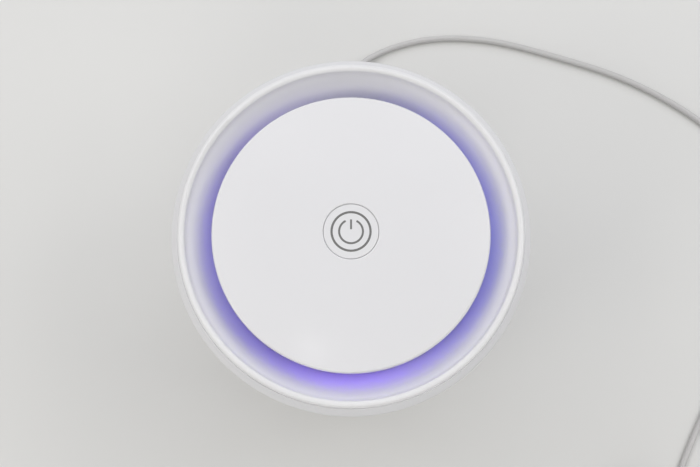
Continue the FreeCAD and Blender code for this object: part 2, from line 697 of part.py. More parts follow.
def base_cover():
    """Twist-off base: dish with a finger recess, a ring of bayonet lugs and a rib for the filter."""
    rib = FILTER_RADIUS - RIB_INSET
    hat = BASE_Z + GRIP_DEPTH
    cover = turned([
        (side(BASE_Z), BASE_Z, COVER_ROUND),
        (side(COVER_TOP), COVER_TOP),
        (inner(COVER_TOP), COVER_TOP),
        (inner(COVER_FLOOR), COVER_FLOOR, 0.8),
        (BAYONET_RING, COVER_FLOOR),
        (BAYONET_RING, LUG_TOP),
        (BAYONET_RING - WALL, LUG_TOP),
        (BAYONET_RING - WALL, COVER_FLOOR),
        (rib, COVER_FLOOR),
        (rib, COVER_FLOOR + FILTER_RIB),
        (rib - RIB_WIDTH, COVER_FLOOR + FILTER_RIB),
        (rib - RIB_WIDTH, COVER_FLOOR),
        (GRIP_RADIUS, COVER_FLOOR, 1.0),
        (GRIP_RADIUS, hat + WALL, 3.0),
        (0, hat + WALL),
        (0, hat),
        (GRIP_RADIUS - WALL, hat, 1.5),
        (GRIP_RADIUS - WALL, BASE_Z, 1.0),
    ])
    lug = turned([
        (BAYONET_RING - OVER, LUG_LOW),
        (inner(LUG_LOW) - FACE_GAP, LUG_LOW),
        (inner(LUG_LOW) - FACE_GAP, LUG_TOP),
        (BAYONET_RING - OVER, LUG_TOP),
    ], LUG_ANGLE, -LUG_ANGLE / 2)
    bar = block((GRIP_BAR, 2 * GRIP_RADIUS, GRIP_DEPTH), (0, 0, BASE_Z + GRIP_DEPTH / 2))
    bar = bar.common(post(GRIP_RADIUS - WALL / 2, BASE_Z + GRIP_BAR_RISE, hat + OVER))
    cover = joined(cover, [bar] + around(lug, LUG_COUNT))
    recess = post(FOOT_RADIUS + HOLE_GAP, BASE_Z - OVER, BASE_Z + FOOT_SINK, FILTER_RADIUS)
    return cover.cut(around(recess, FOOT_COUNT, between(FOOT_COUNT)))


def foot_pads():
    """Rubber pads sunk into the base."""
    pad = turned([
        (0, 0),
        (FOOT_RADIUS, 0, 0.8),
        (FOOT_RADIUS, FOOT_HEIGHT + FOOT_SINK),
        (0, FOOT_HEIGHT + FOOT_SINK),
    ])
    pad.translate(V(FILTER_RADIUS, 0, 0))
    return Part.makeCompound(around(pad, FOOT_COUNT, between(FOOT_COUNT)))


def mid_plate():
    """Partition between filter and fan, with the bell mouth that feeds the impeller."""
    plate = turned(walled([
        (BELL_RADIUS, BELL_TOP),
        (BELL_RADIUS, PLATE_LOW, BELL_ROUND),
        (inner(PLATE_LOW) - FACE_GAP, PLATE_LOW),
    ], PLATE))
    boss = post(PLATE_BOSS_RADIUS, PLATE_LOW - PLATE_BOSS_HEIGHT, PLATE_LOW + OVER, DUCT_SCREW_CIRCLE)
    plate = joined(plate, around(boss, DUCT_SCREW_COUNT, DUCT_SCREW_ANGLE))
    tip = PLATE_TOP + DUCT_FLANGE_DEPTH - DUCT_SCREW_LENGTH
    bore = post(SCREW_HOLE, tip - SCREW_END, PLATE_TOP + OVER, DUCT_SCREW_CIRCLE)
    clamp = post(SCREW_HOLE, PLATE_LOW - OVER, PLATE_TOP + OVER, SHELL_BOSS_CIRCLE)
    wire = behind(post(WIRE_HOLE, PLATE_LOW - OVER, PLATE_TOP + OVER, HARNESS_RADIUS))
    tools = around(bore, DUCT_SCREW_COUNT, DUCT_SCREW_ANGLE)
    tools += around(clamp, SHELL_SCREW_COUNT, between(SHELL_SCREW_COUNT))
    return plate.cut(tools + [wire])


def inlet_guard():
    """Finger guard under the bell mouth: three rings on four spokes."""
    low = PLATE_LOW - GUARD_DEPTH
    rim = ring(GUARD_RADIUS - GUARD_RIM_WIDTH, GUARD_RADIUS, low, PLATE_LOW)
    hoops = []
    for share in (0.25, 0.5, 0.75):
        radius = GUARD_RADIUS * share
        hoops.append(ring(radius - GUARD_BAR, radius, low, PLATE_LOW))
    length = GUARD_RADIUS - GUARD_RIM_WIDTH / 2
    spoke = block((length, GUARD_BAR, GUARD_DEPTH), (length / 2, 0, low + GUARD_DEPTH / 2))
    return joined(rim, hoops + around(spoke, GUARD_SPOKE_COUNT, between(GUARD_SPOKE_COUNT)))


def shell_screws():
    """Screws that clamp the partition between the two housing shells."""
    length = PLATE_TOP + SHELL_BOSS_HEIGHT - 2 * SCREW_END - LEDGE_SLOPE
    screw = screws(LEDGE_SLOPE, length, SHELL_BOSS_CIRCLE)
    return Part.makeCompound(around(screw, SHELL_SCREW_COUNT, between(SHELL_SCREW_COUNT)))


# Top disc, button and lamp

def top_disc():
    """Crowned disc that seems to float in the outlet, with the button's collar and screw bosses."""
    disc = turned(walled([
        (0, DISC_TOP),
        (DISC_RADIUS / 2, DISC_TOP, CROWN_RADIUS),
        (DISC_RADIUS, DISC_EDGE, DISC_EDGE_ROUND),
        (DISC_RADIUS, SKIRT_LOW),
    ], -DISC_WALL))
    collar = post(COLLAR_RADIUS, COLLAR_Z, DISC_TOP - DISC_WALL / 2)
    boss_top = crown(POST_CIRCLE) - DISC_WALL / 2
    boss = post(BOSS_RADIUS, TRAY_RIM - LOCATING_LIP / 2, boss_top, POST_CIRCLE)
    width, depth = DISC_RIB
    rib = block((POST_CIRCLE, width, depth), (POST_CIRCLE / 2, 0, DISC_EDGE - depth / 2 + OVER))
    disc = joined(disc, [collar] + around(boss, DISC_SCREW_COUNT) + around(rib, DISC_SCREW_COUNT))
    hole = post(HOLE_RADIUS, COLLAR_Z - OVER, DISC_TOP + OVER)
    bore = post(SCREW_HOLE, TRAY_RIM - OVER - LOCATING_LIP, DISC_EDGE - SCREW_END, POST_CIRCLE)
    disc = disc.cut([hole] + around(bore, DISC_SCREW_COUNT))
    middle = V(0, 0, crown(HOLE_RADIUS))
    rim = [edge for edge in disc.Edges if edge.BoundBox.Center.distanceToPoint(middle) < HOLE_ROUND]
    return disc.makeFillet(HOLE_ROUND, rim)


def power_button():
    """Hollow cap with a ring that keeps it under the collar and a stem for the switch."""
    cap_low = BUTTON_TOP - DISC_WALL
    return turned([
        (0, BUTTON_TOP),
        (BUTTON_RADIUS, BUTTON_TOP, BUTTON_EDGE_ROUND),
        (BUTTON_RADIUS, FLANGE_TOP),
        (HOLE_RADIUS + KEEPER_WIDTH, FLANGE_TOP),
        (HOLE_RADIUS + KEEPER_WIDTH, FLANGE_LOW),
        (BUTTON_RADIUS - DISC_WALL, FLANGE_LOW),
        (BUTTON_RADIUS - DISC_WALL, cap_low, 1.0),
        (STEM_RADIUS, cap_low, 1.0),
        (STEM_RADIUS, PLUNGER_TOP),
        (0, PLUNGER_TOP),
    ])


def light_diffuser():
    """Milky ring on the rim of the tray, whose flange closes the disc from below."""
    return turned([
        (DIFFUSER_BORE, TRAY_RIM),
        (DIFFUSER_RADIUS, TRAY_RIM),
        (DIFFUSER_RADIUS, SKIRT_LOW),
        (SKIRT_BORE - HOLE_GAP, SKIRT_LOW),
        (SKIRT_BORE - HOLE_GAP, SKIRT_LOW + DIFFUSER_WALL),
        (DIFFUSER_BORE, SKIRT_LOW + DIFFUSER_WALL),
    ])


def tray_outline():
    """Outer corners of the lamp tray: floor, cone and rim."""
    return [
        (0, VANE_TOP),
        (HUB_RADIUS, VANE_TOP, 3.0),
        (DIFFUSER_RADIUS, TRAY_RIM - LOCATING_LIP / 2),
        (DIFFUSER_RADIUS, TRAY_RIM),
        (DIFFUSER_BORE, TRAY_RIM),
        (DIFFUSER_BORE, TRAY_RIM + LOCATING_LIP),
    ]


def lamp_tray():
    """Cone-shaped tray on the vane ring that carries the boards, the diffuser and the disc."""
    hollow = [
        (LOCATING_BORE, TRAY_RIM + LOCATING_LIP),
        (LOCATING_BORE, TRAY_RIM - LOCATING_LIP / 4),
        (HUB_RADIUS - TRAY_WALL / 2, TRAY_TOP, 3.0),
        (0, TRAY_TOP),
    ]
    tray = turned(tray_outline() + hollow)
    whole = turned(tray_outline() + [(0, TRAY_RIM + LOCATING_LIP)])
    circle = LOCATING_BORE - LED_BOARD_WIDTH + LED_POST_RADIUS
    lamp_post = post(LED_POST_RADIUS, VANE_TOP, LED_BOARD_Z, circle).common(whole)
    foot = VANE_TOP + TRAY_FLOOR / 2
    stub = TRAY_TOP + TRAY_BOSS_HEIGHT
    disc_post = post(BOSS_RADIUS, foot, TRAY_RIM - LOCATING_LIP / 2, POST_CIRCLE)
    tray_boss = post(BOSS_RADIUS, foot, stub, POST_CIRCLE)
    board_post = post(BOARD_POST_RADIUS, foot, BOARD_LOW, BOARD_SCREW_CIRCLE)
    turn = between(DISC_SCREW_COUNT)
    posts = around(lamp_post, LED_POST_COUNT, LED_POST_ANGLE)
    posts += around(disc_post, DISC_SCREW_COUNT) + around(tray_boss, DISC_SCREW_COUNT, turn)
    posts += around(board_post, BOARD_POST_COUNT, BOARD_POST_ANGLE)
    tray = joined(tray, posts)
    disc_hole = post(SCREW_HOLE, VANE_TOP - OVER, TRAY_RIM, POST_CIRCLE)
    head_hole = post(HEAD_HOLE, VANE_TOP - OVER, VANE_TOP + HEAD_DEPTH, POST_CIRCLE)
    tray_hole = post(SCREW_HOLE, VANE_TOP - OVER, stub - TRAY_WALL / 2, POST_CIRCLE)
    board_hole = post(SCREW_HOLE, TRAY_TOP + SCREW_END, BOARD_LOW + OVER, BOARD_SCREW_CIRCLE)
    holes = around(disc_hole, DISC_SCREW_COUNT) + around(head_hole, DISC_SCREW_COUNT)
    holes += around(tray_hole, DISC_SCREW_COUNT, turn)
    holes += around(board_hole, BOARD_POST_COUNT, BOARD_POST_ANGLE)
    holes.append(behind(post(WIRE_HOLE, VANE_TOP - OVER, TRAY_TOP + OVER, HARNESS_RISE)))
    holes.append(post(WIRE_HOLE, VANE_TOP - OVER, TRAY_TOP + OVER, MOTOR_LEAD))
    return tray.cut(holes)


def disc_screws():
    """Screws through the tray's hollow posts into the disc."""
    low = VANE_TOP + HEAD_DEPTH
    screw = screws(low, DISC_EDGE - SCREW_END - OVER - low, POST_CIRCLE)
    return Part.makeCompound(around(screw, DISC_SCREW_COUNT))


def tray_screws():
    """Screws through the hub of the vane ring into the tray."""
    screw = screws(DUCT_TOP, TRAY_TOP + TRAY_BOSS_HEIGHT - SCREW_END - DUCT_TOP, POST_CIRCLE)
    return Part.makeCompound(around(screw, DISC_SCREW_COUNT, between(DISC_SCREW_COUNT)))


def led_board():
    """Ring-shaped circuit board for the lamp."""
    outer = LOCATING_BORE - FACE_GAP
    return ring(outer - LED_BOARD_WIDTH, outer, LED_BOARD_Z, LED_BOARD_Z + LED_BOARD_DEPTH)


def lamp_leds():
    """Side-emitting lamps round the edge of their board."""
    low = LED_BOARD_Z + LED_BOARD_DEPTH
    place = LOCATING_BORE - FACE_GAP - LED_DEPTH
    led = block((LED_DEPTH, LED_WIDTH, LED_HEIGHT), (place, 0, low + LED_HEIGHT / 2))
    return Part.makeCompound(around(led, LED_COUNT, between(LED_COUNT)))


def control_board():
    """Round circuit board under the button."""
    board = post(BOARD_RADIUS, BOARD_LOW, BOARD_TOP)
    hole = post(SCREW_HOLE, BOARD_LOW - OVER, BOARD_TOP + OVER, BOARD_SCREW_CIRCLE)
    return board.cut(around(hole, BOARD_POST_COUNT, BOARD_POST_ANGLE))


def board_parts():
    """Controller, driver, capacitor and two wire headers on the control board."""
    x, y = CAPACITOR_PLACE
    parts = [Part.makeCylinder(CAPACITOR_RADIUS, CAPACITOR_HEIGHT, V(x, y, BOARD_TOP))]
    for size, (x, y) in zip(BOARD_PART_SIZES, BOARD_PART_PLACES):
        parts.append(block(size, (x, y, BOARD_TOP + size[2] / 2)))
    return Part.makeCompound(parts)


def board_screws():
    """Screws that hold the control board to its posts, pointing down."""
    length = BOARD_TOP - TRAY_TOP - 2 * SCREW_END
    screw = flipped(screws(0, length, BOARD_SCREW_CIRCLE), BOARD_TOP)
    return Part.makeCompound(around(screw, BOARD_POST_COUNT, BOARD_POST_ANGLE))


def tact_switch():
    """Housing of the push switch, with a well for its plunger."""
    housing = block((SWITCH_WIDTH, SWITCH_WIDTH, SWITCH_HEIGHT), (0, 0, SWITCH_TOP - SWITCH_HEIGHT / 2))
    floor = SWITCH_TOP - PLUNGER_REACH - BUTTON_TRAVEL - FACE_GAP
    return housing.cut(post(PLUNGER_RADIUS + HOLE_GAP, floor, SWITCH_TOP + OVER))


def switch_plunger():
    """Plunger of the push switch, which the button's stem rests on."""
    return post(PLUNGER_RADIUS, SWITCH_TOP - PLUNGER_REACH, PLUNGER_TOP)


# Fan

def fan_duct():
    """Round duct about the impeller, screwed to the partition by its flange."""
    flange_top = PLATE_TOP + DUCT_FLANGE_DEPTH
    duct = turned([
        (NECK_RADIUS, PLATE_TOP),
        (DUCT_RADIUS + DUCT_FLANGE, PLATE_TOP),
        (DUCT_RADIUS + DUCT_FLANGE, flange_top),
        (DUCT_RADIUS, flange_top, 0.6),
        (DUCT_RADIUS, DUCT_TOP),
        (NECK_RADIUS, DUCT_TOP),
    ])
    hole = post(SCREW_HOLE, PLATE_TOP - OVER, flange_top + OVER, DUCT_SCREW_CIRCLE)
    return duct.cut(around(hole, DUCT_SCREW_COUNT, DUCT_SCREW_ANGLE))


def duct_screws():
    """Screws that hold the duct's flange to the partition, pointing down."""
    screw = flipped(screws(0, DUCT_SCREW_LENGTH, DUCT_SCREW_CIRCLE), PLATE_TOP + DUCT_FLANGE_DEPTH)
    return Part.makeCompound(around(screw, DUCT_SCREW_COUNT, DUCT_SCREW_ANGLE))


def guide_vane():
    """One vane across the air channel, leaning against the swirl at its foot."""
    low = V(0, 0, DUCT_TOP)
    lean = VANE_HEIGHT * math.tan(math.radians(VANE_LEAN)) / 2
    foot = low + V(0, -lean, 0)
    waist = low + V(0, -lean / 5, VANE_HEIGHT / 2)
    head = low + V(0, 0, VANE_HEIGHT)
    depth = V(0, VANE_DEPTH, 0)
    wire = Part.Wire([
        Part.Arc(foot, waist, head).toShape(),
        Part.LineSegment(head, head + depth).toShape(),
        Part.Arc(head + depth, waist + depth, foot + depth).toShape(),
        Part.LineSegment(foot + depth, foot).toShape(),
    ])
    wire.translate(V(HUB_RADIUS - HUB_WALL, 0, 0))
    plate = Part.Face(wire).extrude(V(CHANNEL + 2 * HUB_WALL, 0, 0))
    return plate.common(ring(HUB_RADIUS - 0.5, NECK_RADIUS + 0.5, DUCT_TOP, VANE_TOP))


def vane_ring():
    """Guide vanes between a sleeve that joins duct and bowl and a hub that carries tray and motor."""
    sleeve = SLEEVE_RADIUS + SLEEVE_WALL
    rim = turned([
        (NECK_RADIUS, DUCT_TOP),
        (SLEEVE_RADIUS, DUCT_TOP),
        (SLEEVE_RADIUS, DUCT_TOP - SLEEVE_REACH),
        (sleeve, DUCT_TOP - SLEEVE_REACH),
        (sleeve, VANE_TOP + SLEEVE_REACH),
        (SLEEVE_RADIUS, VANE_TOP + SLEEVE_REACH),
        (SLEEVE_RADIUS, VANE_TOP),
        (NECK_RADIUS, VANE_TOP),
    ])
    hub = turned([
        (0, DUCT_TOP),
        (HUB_RADIUS, DUCT_TOP),
        (HUB_RADIUS, VANE_TOP),
        (HUB_RADIUS - HUB_WALL, VANE_TOP),
        (HUB_RADIUS - HUB_WALL, HUB_FLOOR_TOP),
        (0, HUB_FLOOR_TOP),
    ])
    turn = between(DISC_SCREW_COUNT)
    tray_boss = post(BOSS_RADIUS, DUCT_TOP + OVER, VANE_TOP, POST_CIRCLE)
    motor_boss = post(BOSS_RADIUS, DUCT_TOP + OVER, VANE_TOP - MOTOR_BOSS_DROP, DAMPER_CIRCLE)
    bosses = around(tray_boss, DISC_SCREW_COUNT, turn) + around(motor_boss, DISC_SCREW_COUNT)
    size = (CHANNEL + OVER, STRUT_WIDTH, VANE_HEIGHT - 2 * OVER)
    strut = behind(block(size, (HUB_RADIUS + CHANNEL / 2, 0, CROSSING_Z)))
    vanes = around(guide_vane(), VANE_COUNT, 90)[1:]
    body = joined(rim, [hub, strut] + vanes + bosses)
    length = SLEEVE_RADIUS + SLEEVE_WALL + OVER - HARNESS_RISE
    wire = Part.makeCylinder(WIRE_HOLE, length, V(0, HARNESS_RISE, CROSSING_Z), V(0, 1, 0))
    tray_hole = post(SCREW_HOLE, DUCT_TOP - OVER, VANE_TOP + OVER, POST_CIRCLE)
    motor_hole = post(SCREW_HOLE, DUCT_TOP - OVER, VANE_TOP - MOTOR_BOSS_DROP - OVER, DAMPER_CIRCLE)
    holes = [wire, post(WIRE_HOLE, DUCT_TOP - OVER, HUB_FLOOR_TOP + OVER, MOTOR_LEAD)]
    holes += around(tray_hole, DISC_SCREW_COUNT, turn) + around(motor_hole, DISC_SCREW_COUNT)
    return body.cut(holes)


def blade():
    """One backward-curved blade, from the eye to the rim, between front shroud and back plate."""
    root = EYE_RADIUS - BLADE_ROOT
    tip = IMPELLER_RADIUS - BLADE_TIP_INSET
    trail = math.radians(BLADE_SWEEP)
    middle = (root + tip) / 2
    start = V(root, 0, 0)
    waist = V(middle * math.cos(trail * BLADE_BOW), -middle * math.sin(trail * BLADE_BOW), 0)
    end = V(tip * math.cos(trail), -tip * math.sin(trail), 0)
    centre = Part.Arc(start, waist, end).toShape().Curve.Center
    front = []
    back = []
    for point in (start, waist, end):
        outwards = (point - centre).normalize() * (BLADE_DEPTH / 2)
        front.append(point - outwards)
        back.append(point + outwards)
    wire = Part.Wire([
        Part.Arc(front[0], front[1], front[2]).toShape(),
        Part.LineSegment(front[2], back[2]).toShape(),
        Part.Arc(back[2], back[1], back[0]).toShape(),
        Part.LineSegment(back[0], front[0]).toShape(),
    ])
    wire.translate(V(0, 0, EYE_LOW))
    prism = Part.Face(wire).extrude(V(0, 0, IMPELLER_TOP - EYE_LOW))
    hub = ROTOR_RADIUS + HUB_CUP_WALL
    bend_low = TIP_LOW - SHROUD_RISE
    space = turned([
        (hub + BLADE_SINK, HUB_LOW + HUB_ROUND / 2),
        (EYE_RADIUS + BLADE_SINK, bend_low - BLADE_SINK),
        (tip, TIP_LOW - BLADE_SINK),
        (tip, BLADE_TOP + BLADE_SINK),
        (hub + BLADE_SINK, BLADE_TOP + BLADE_SINK),
    ])
    return prism.common(space)


def impeller():
    """Fan wheel: rounded hub cup, back plate, nine backward-curved blades and a front shroud."""
    cup = ROTOR_RADIUS + HUB_CUP_WALL
    hub = turned([
        (0, HUB_LOW),
        (cup, HUB_LOW, HUB_ROUND),
        (cup, BLADE_TOP, 10.0),
        (IMPELLER_RADIUS, BLADE_TOP),
        (IMPELLER_RADIUS, IMPELLER_TOP),
        (ROTOR_RADIUS, IMPELLER_TOP),
        (ROTOR_RADIUS, ROTOR_FLOOR),
        (0, ROTOR_FLOOR),
    ])
    shroud = turned(walled([
        (EYE_RADIUS, EYE_LOW),
        (EYE_RADIUS, TIP_LOW - SHROUD_RISE, 5.0),
        (IMPELLER_RADIUS, TIP_LOW),
    ], -SHROUD_WALL))
    return joined(hub, [shroud] + around(blade(), BLADE_COUNT))


def rotor_cup():
    """Steel cup of the outer-rotor motor, pressed into the impeller's hub, with the shaft's boss."""
    top = IMPELLER_TOP - OVER
    floor_top = ROTOR_FLOOR + ROTOR_WALL
    return turned([
        (SHAFT_RADIUS, ROTOR_FLOOR),
        (ROTOR_RADIUS, ROTOR_FLOOR),
        (ROTOR_RADIUS, top),
        (MAGNET_RADIUS, top),
        (MAGNET_RADIUS, floor_top),
        (SHAFT_RADIUS + SHAFT_BOSS[0], floor_top),
        (SHAFT_RADIUS + SHAFT_BOSS[0], floor_top + SHAFT_BOSS[1]),
        (SHAFT_RADIUS, floor_top + SHAFT_BOSS[1]),
    ])


def rotor_magnets():
    """Magnet ring inside the rotor cup."""
    low = STATOR_LOW - MAGNET_OVERHANG
    return ring(MAGNET_RADIUS - MAGNET_DEPTH, MAGNET_RADIUS, low, STATOR_TOP + MAGNET_OVERHANG)


def motor_shaft():
    """Steel shaft, fixed in the rotor cup and turning in both bearings."""
    top = MOUNT_LOW - SHAFT_END_GAP
    return turned([
        (0, ROTOR_FLOOR),
        (SHAFT_RADIUS, ROTOR_FLOOR),
        (SHAFT_RADIUS, top, 0.3),
        (0, top),
    ])


def bearing(low):
    """Small ball bearing as one ring."""
    return ring(SHAFT_RADIUS + RUNNING_GAP, BEARING_RADIUS, low, low + BEARING_HEIGHT)


def motor_mount():
    """Plate on three rubber dampers, with the tube that holds stator and bearings."""
    mount = turned([
        (TUBE_RADIUS, TUBE_LOW),
        (TUBE_RADIUS, MOUNT_LOW, 1.5),
        (MOUNT_RADIUS, MOUNT_LOW),
        (MOUNT_RADIUS, DAMPER_LOW),
        (0, DAMPER_LOW),
        (0, MOUNT_LOW),
        (BEARING_RADIUS, MOUNT_LOW),
        (BEARING_RADIUS, TUBE_LOW),
    ])
    hole = post(SCREW_HOLE, MOUNT_LOW - OVER, DAMPER_LOW + OVER, DAMPER_CIRCLE)
    wires = post(LEAD_WIRE_RADIUS + FACE_GAP, MOUNT_LOW - OVER, DAMPER_LOW + OVER, MOTOR_LEAD)
    return mount.cut(around(hole, DISC_SCREW_COUNT) + [wires])


def motor_dampers():
    """Rubber rings between motor mount and hub."""
    damper = turned([
        (SCREW_HOLE, DAMPER_LOW),
        (DAMPER_RADIUS, DAMPER_LOW),
        (DAMPER_RADIUS - DAMPER_WAIST, (DAMPER_LOW + DUCT_TOP) / 2),
        (DAMPER_RADIUS, DUCT_TOP),
        (SCREW_HOLE, DUCT_TOP),
    ])
    damper.translate(V(DAMPER_CIRCLE, 0, 0))
    return Part.makeCompound(around(damper, DISC_SCREW_COUNT))


def motor_screws():
    """Screws through motor mount and dampers into the hub."""
    screw = screws(MOUNT_LOW, VANE_TOP - MOTOR_SCREW_DROP - MOUNT_LOW, DAMPER_CIRCLE)
    return Part.makeCompound(around(screw, DISC_SCREW_COUNT))


def stator_core():
    """Laminated core with nine shoed teeth on the bearing tube."""
    sweep = 360.0 / TOOTH_COUNT * SHOE_SHARE
    tooth = block((STATOR_RADIUS - TUBE_RADIUS - OVER, TOOTH_WIDTH, STATOR_HEIGHT),
                  ((STATOR_RADIUS + TUBE_RADIUS) / 2, 0, (STATOR_LOW + STATOR_TOP) / 2))
    shoe = turned([
        (STATOR_RADIUS - TOOTH_SHOE, STATOR_LOW),
        (STATOR_RADIUS, STATOR_LOW),
        (STATOR_RADIUS, STATOR_TOP),
        (STATOR_RADIUS - TOOTH_SHOE, STATOR_TOP),
    ], sweep, -sweep / 2)
    hub = ring(TUBE_RADIUS, TUBE_RADIUS + STATOR_HUB_WALL, STATOR_LOW, STATOR_TOP)
    return joined(hub, around(joined(tooth, [shoe]), TOOTH_COUNT))


def stator_coils():
    """Copper windings, one round each tooth."""
    width = TOOTH_WIDTH + 2 * WINDING_DEPTH
    outer = STATOR_RADIUS - TOOTH_SHOE - FACE_GAP
    bore = width / 2 / math.sin(math.pi / TOOTH_COUNT) + FACE_GAP
    middle = ((outer + bore) / 2, 0, (STATOR_LOW + STATOR_TOP) / 2)
    winding = block((outer - bore, width, STATOR_HEIGHT + 2 * WINDING_DEPTH), middle)
    core = block((outer - bore + 2 * OVER, TOOTH_WIDTH, STATOR_HEIGHT), middle)
    return Part.makeCompound(around(winding.cut(core), TOOTH_COUNT))


# Filter

def filter_cap(low):
    """End ring of the filter."""
    return turned([
        (FILTER_BORE, low),
        (FILTER_RADIUS, low),
        (FILTER_RADIUS, low + FILTER_CAP),
        (FILTER_BORE, low + FILTER_CAP),
    ])


def sleeve(bore, radius):
    """Layer of the filter between its end rings."""
    return ring(bore, radius, FILTER_LOW + FILTER_CAP, FILTER_TOP - FILTER_CAP)


def folded_line(peak, valley):
    """Star-shaped face whose outline folds between two radii."""
    points = []
    for i in range(2 * PLEAT_COUNT):
        radius = peak if i % 2 == 0 else valley
        turn = math.pi * i / PLEAT_COUNT
        points.append(V(radius * math.cos(turn), radius * math.sin(turn), FILTER_LOW + FILTER_CAP))
    return Part.Face(Part.makePolygon(points + points[:1]))


def pleated_medium():
    """Particle filter: one sheet folded between the carbon sleeve and the prefilter."""
    peak = FILTER_RADIUS - PREFILTER_WALL - PREFILTER_GAP
    valley = FILTER_BORE + CARBON_WALL + PLEAT_SHIFT + CARBON_GAP
    face = folded_line(peak, valley).cut(folded_line(peak - PLEAT_SHIFT, valley - PLEAT_SHIFT))
    return face.Faces[0].extrude(V(0, 0, FILTER_HEIGHT - 2 * FILTER_CAP))


def filter_seal():
    """Foam ring that seals the filter against the partition, outside the finger guard."""
    bore = GUARD_RADIUS + SEAL_BORE_GAP
    return ring(bore, bore + SEAL_WIDTH, FILTER_TOP, PLATE_LOW)


def filter_tab():
    """Fabric tab under the filter, for pulling it out."""
    near = FILTER_BORE + TAB_INSET
    far = FILTER_RADIUS - 2 * TAB_INSET
    low = FILTER_LOW - TAB_DEPTH
    corners = [(near, low), (far, low), (far, FILTER_LOW), (near, FILTER_LOW)]
    return turned(corners, TAB_SWEEP, 90.0 - TAB_SWEEP / 2)


# Power

def dc_socket():
    """Barrel socket with its centre pin, held by a flange behind the pad of the intake shell."""
    bore = JACK_RADIUS + JACK_GAP
    bore_end = PLUG_FACE - JACK_LENGTH - JACK_END_GAP
    flange = SOCKET_RADIUS + SOCKET_FLANGE
    return backwards(turned([
        (0, SOCKET_REAR),
        (SOCKET_RADIUS, SOCKET_REAR),
        (SOCKET_RADIUS, PAD_FACE - SOCKET_FLANGE),
        (flange, PAD_FACE - SOCKET_FLANGE),
        (flange, PAD_FACE),
        (SOCKET_RADIUS, PAD_FACE),
        (SOCKET_RADIUS, SOCKET_FACE, 0.4),
        (bore, SOCKET_FACE, 0.4),
        (bore, bore_end),
        (PIN_RADIUS, bore_end),
        (PIN_RADIUS, SOCKET_FACE - PIN_RECESS, 0.4),
        (0, SOCKET_FACE - PIN_RECESS),
    ]))


def plug_barrel():
    """Metal barrel of the plug, seated in the socket."""
    bore = PIN_RADIUS + JACK_GAP
    return backwards(ring(bore, JACK_RADIUS, PLUG_FACE - JACK_LENGTH, PLUG_FACE + BARREL_HOLD))


def dc_plug():
    """Moulded grip of the plug with its tapered, ribbed strain relief."""
    hold = PLUG_FACE + BARREL_HOLD
    corners = [
        (JACK_RADIUS, PLUG_FACE),
        (PLUG_RADIUS, PLUG_FACE, 0.6),
        (PLUG_RADIUS, RELIEF_FACE, 1.6),
    ]
    step = RELIEF_LENGTH / RELIEF_RIB_COUNT
    widest = PLUG_RADIUS - RELIEF_STEP
    taper = (widest - CORD_RADIUS - FACE_GAP) / (RELIEF_RIB_COUNT - 1)
    for i in range(RELIEF_RIB_COUNT):
        near = RELIEF_FACE + i * step
        rise = near + step * 0.35
        rib = widest - taper * i
        groove = max(rib - RIB_DEPTH, CORD_RADIUS + HOLE_GAP)
        corners += [(groove, near), (groove, rise), (rib, rise), (rib, near + step)]
    corners += [(0, CORD_START), (0, hold), (JACK_RADIUS, hold)]
    return backwards(turned(corners))


def tube(points, radius, limit=math.inf):
    """Round cord along straight runs joined by tangent arcs, as large as the runs or a limit allow."""
    edges = []
    radii = []
    start = points[0]
    for before, corner, after in zip(points, points[1:], points[2:]):
        reach = min(ARC_SHARE * min((before - corner).Length, (after - corner).Length), limit)
        half = (before - corner).getAngle(after - corner) / 2
        enter, middle, leave = bend(before, corner, after, reach, half)
        edges.append(Part.LineSegment(start, enter).toShape())
        edges.append(Part.Arc(enter, middle, leave).toShape())
        radii.append(round(reach * math.tan(half), 1))
        start = leave
    edges.append(Part.LineSegment(start, points[-1]).toShape())
    path = Part.Wire(edges)
    section = Part.Wire(Part.makeCircle(radius, points[0], points[1] - points[0]))
    solid = path.makePipeShell([section], True, False)
    share = solid.Volume / (math.pi * radius ** 2 * path.Length)
    print("tube length", round(path.Length, 1), "volume share", round(share, 4), "bend radii", radii)
    return solid


def power_harness():
    """Wires from the socket up beside the duct, through the hollow strut and up to the board."""
    low = SOCKET_HEIGHT + SOCKET_RADIUS
    terminal = SOCKET_REAR + HARNESS_TERMINAL
    under = BOARD_LOW - HARNESS_DROP
    board_end = BOARD_RADIUS - HARNESS_TERMINAL
    return tube([
        V(0, terminal, low),
        V(0, terminal, low + HARNESS_STEP),
        V(0, HARNESS_RADIUS, low + 2 * HARNESS_STEP),
        V(0, HARNESS_RADIUS, CROSSING_Z),
        V(0, HARNESS_RISE, CROSSING_Z),
        V(0, HARNESS_RISE, under),
        V(0, board_end, under),
        V(0, board_end, BOARD_LOW),
    ], WIRE_RADIUS, 4 * WIRE_RADIUS)


def motor_board():
    """Round circuit board of the motor, on the bearing tube above the windings."""
    top = MOTOR_BOARD_LOW + MOTOR_BOARD_DEPTH
    return ring(TUBE_RADIUS, MOTOR_BOARD_RADIUS, MOTOR_BOARD_LOW, top)


def motor_lead():
    """Wires from the motor's board up through the hub to the control board."""
    return post(LEAD_WIRE_RADIUS, MOTOR_BOARD_LOW + MOTOR_BOARD_DEPTH, BOARD_LOW, MOTOR_LEAD)


def cord_route():
    """Lead from the plug's relief down to the table and round to the start of the coil."""
    points = [V(0, CORD_START, SOCKET_HEIGHT)] + list(CORD_ROUTE)
    return points + [COIL_CENTRE + V(COIL_RADIUS, 0, COIL_LIFT + CORD_RADIUS)]


def tail_route():
    """Free end from the coil to the relief of the far plug."""
    leave = COIL_CENTRE + V(0, -COIL_RADIUS, COIL_LIFT + CORD_RADIUS)
    return [leave] + list(TAIL_ROUTE) + [TAIL_ROUTE[-1] - V(CORD_START - RELIEF_FACE, 0, 0)]


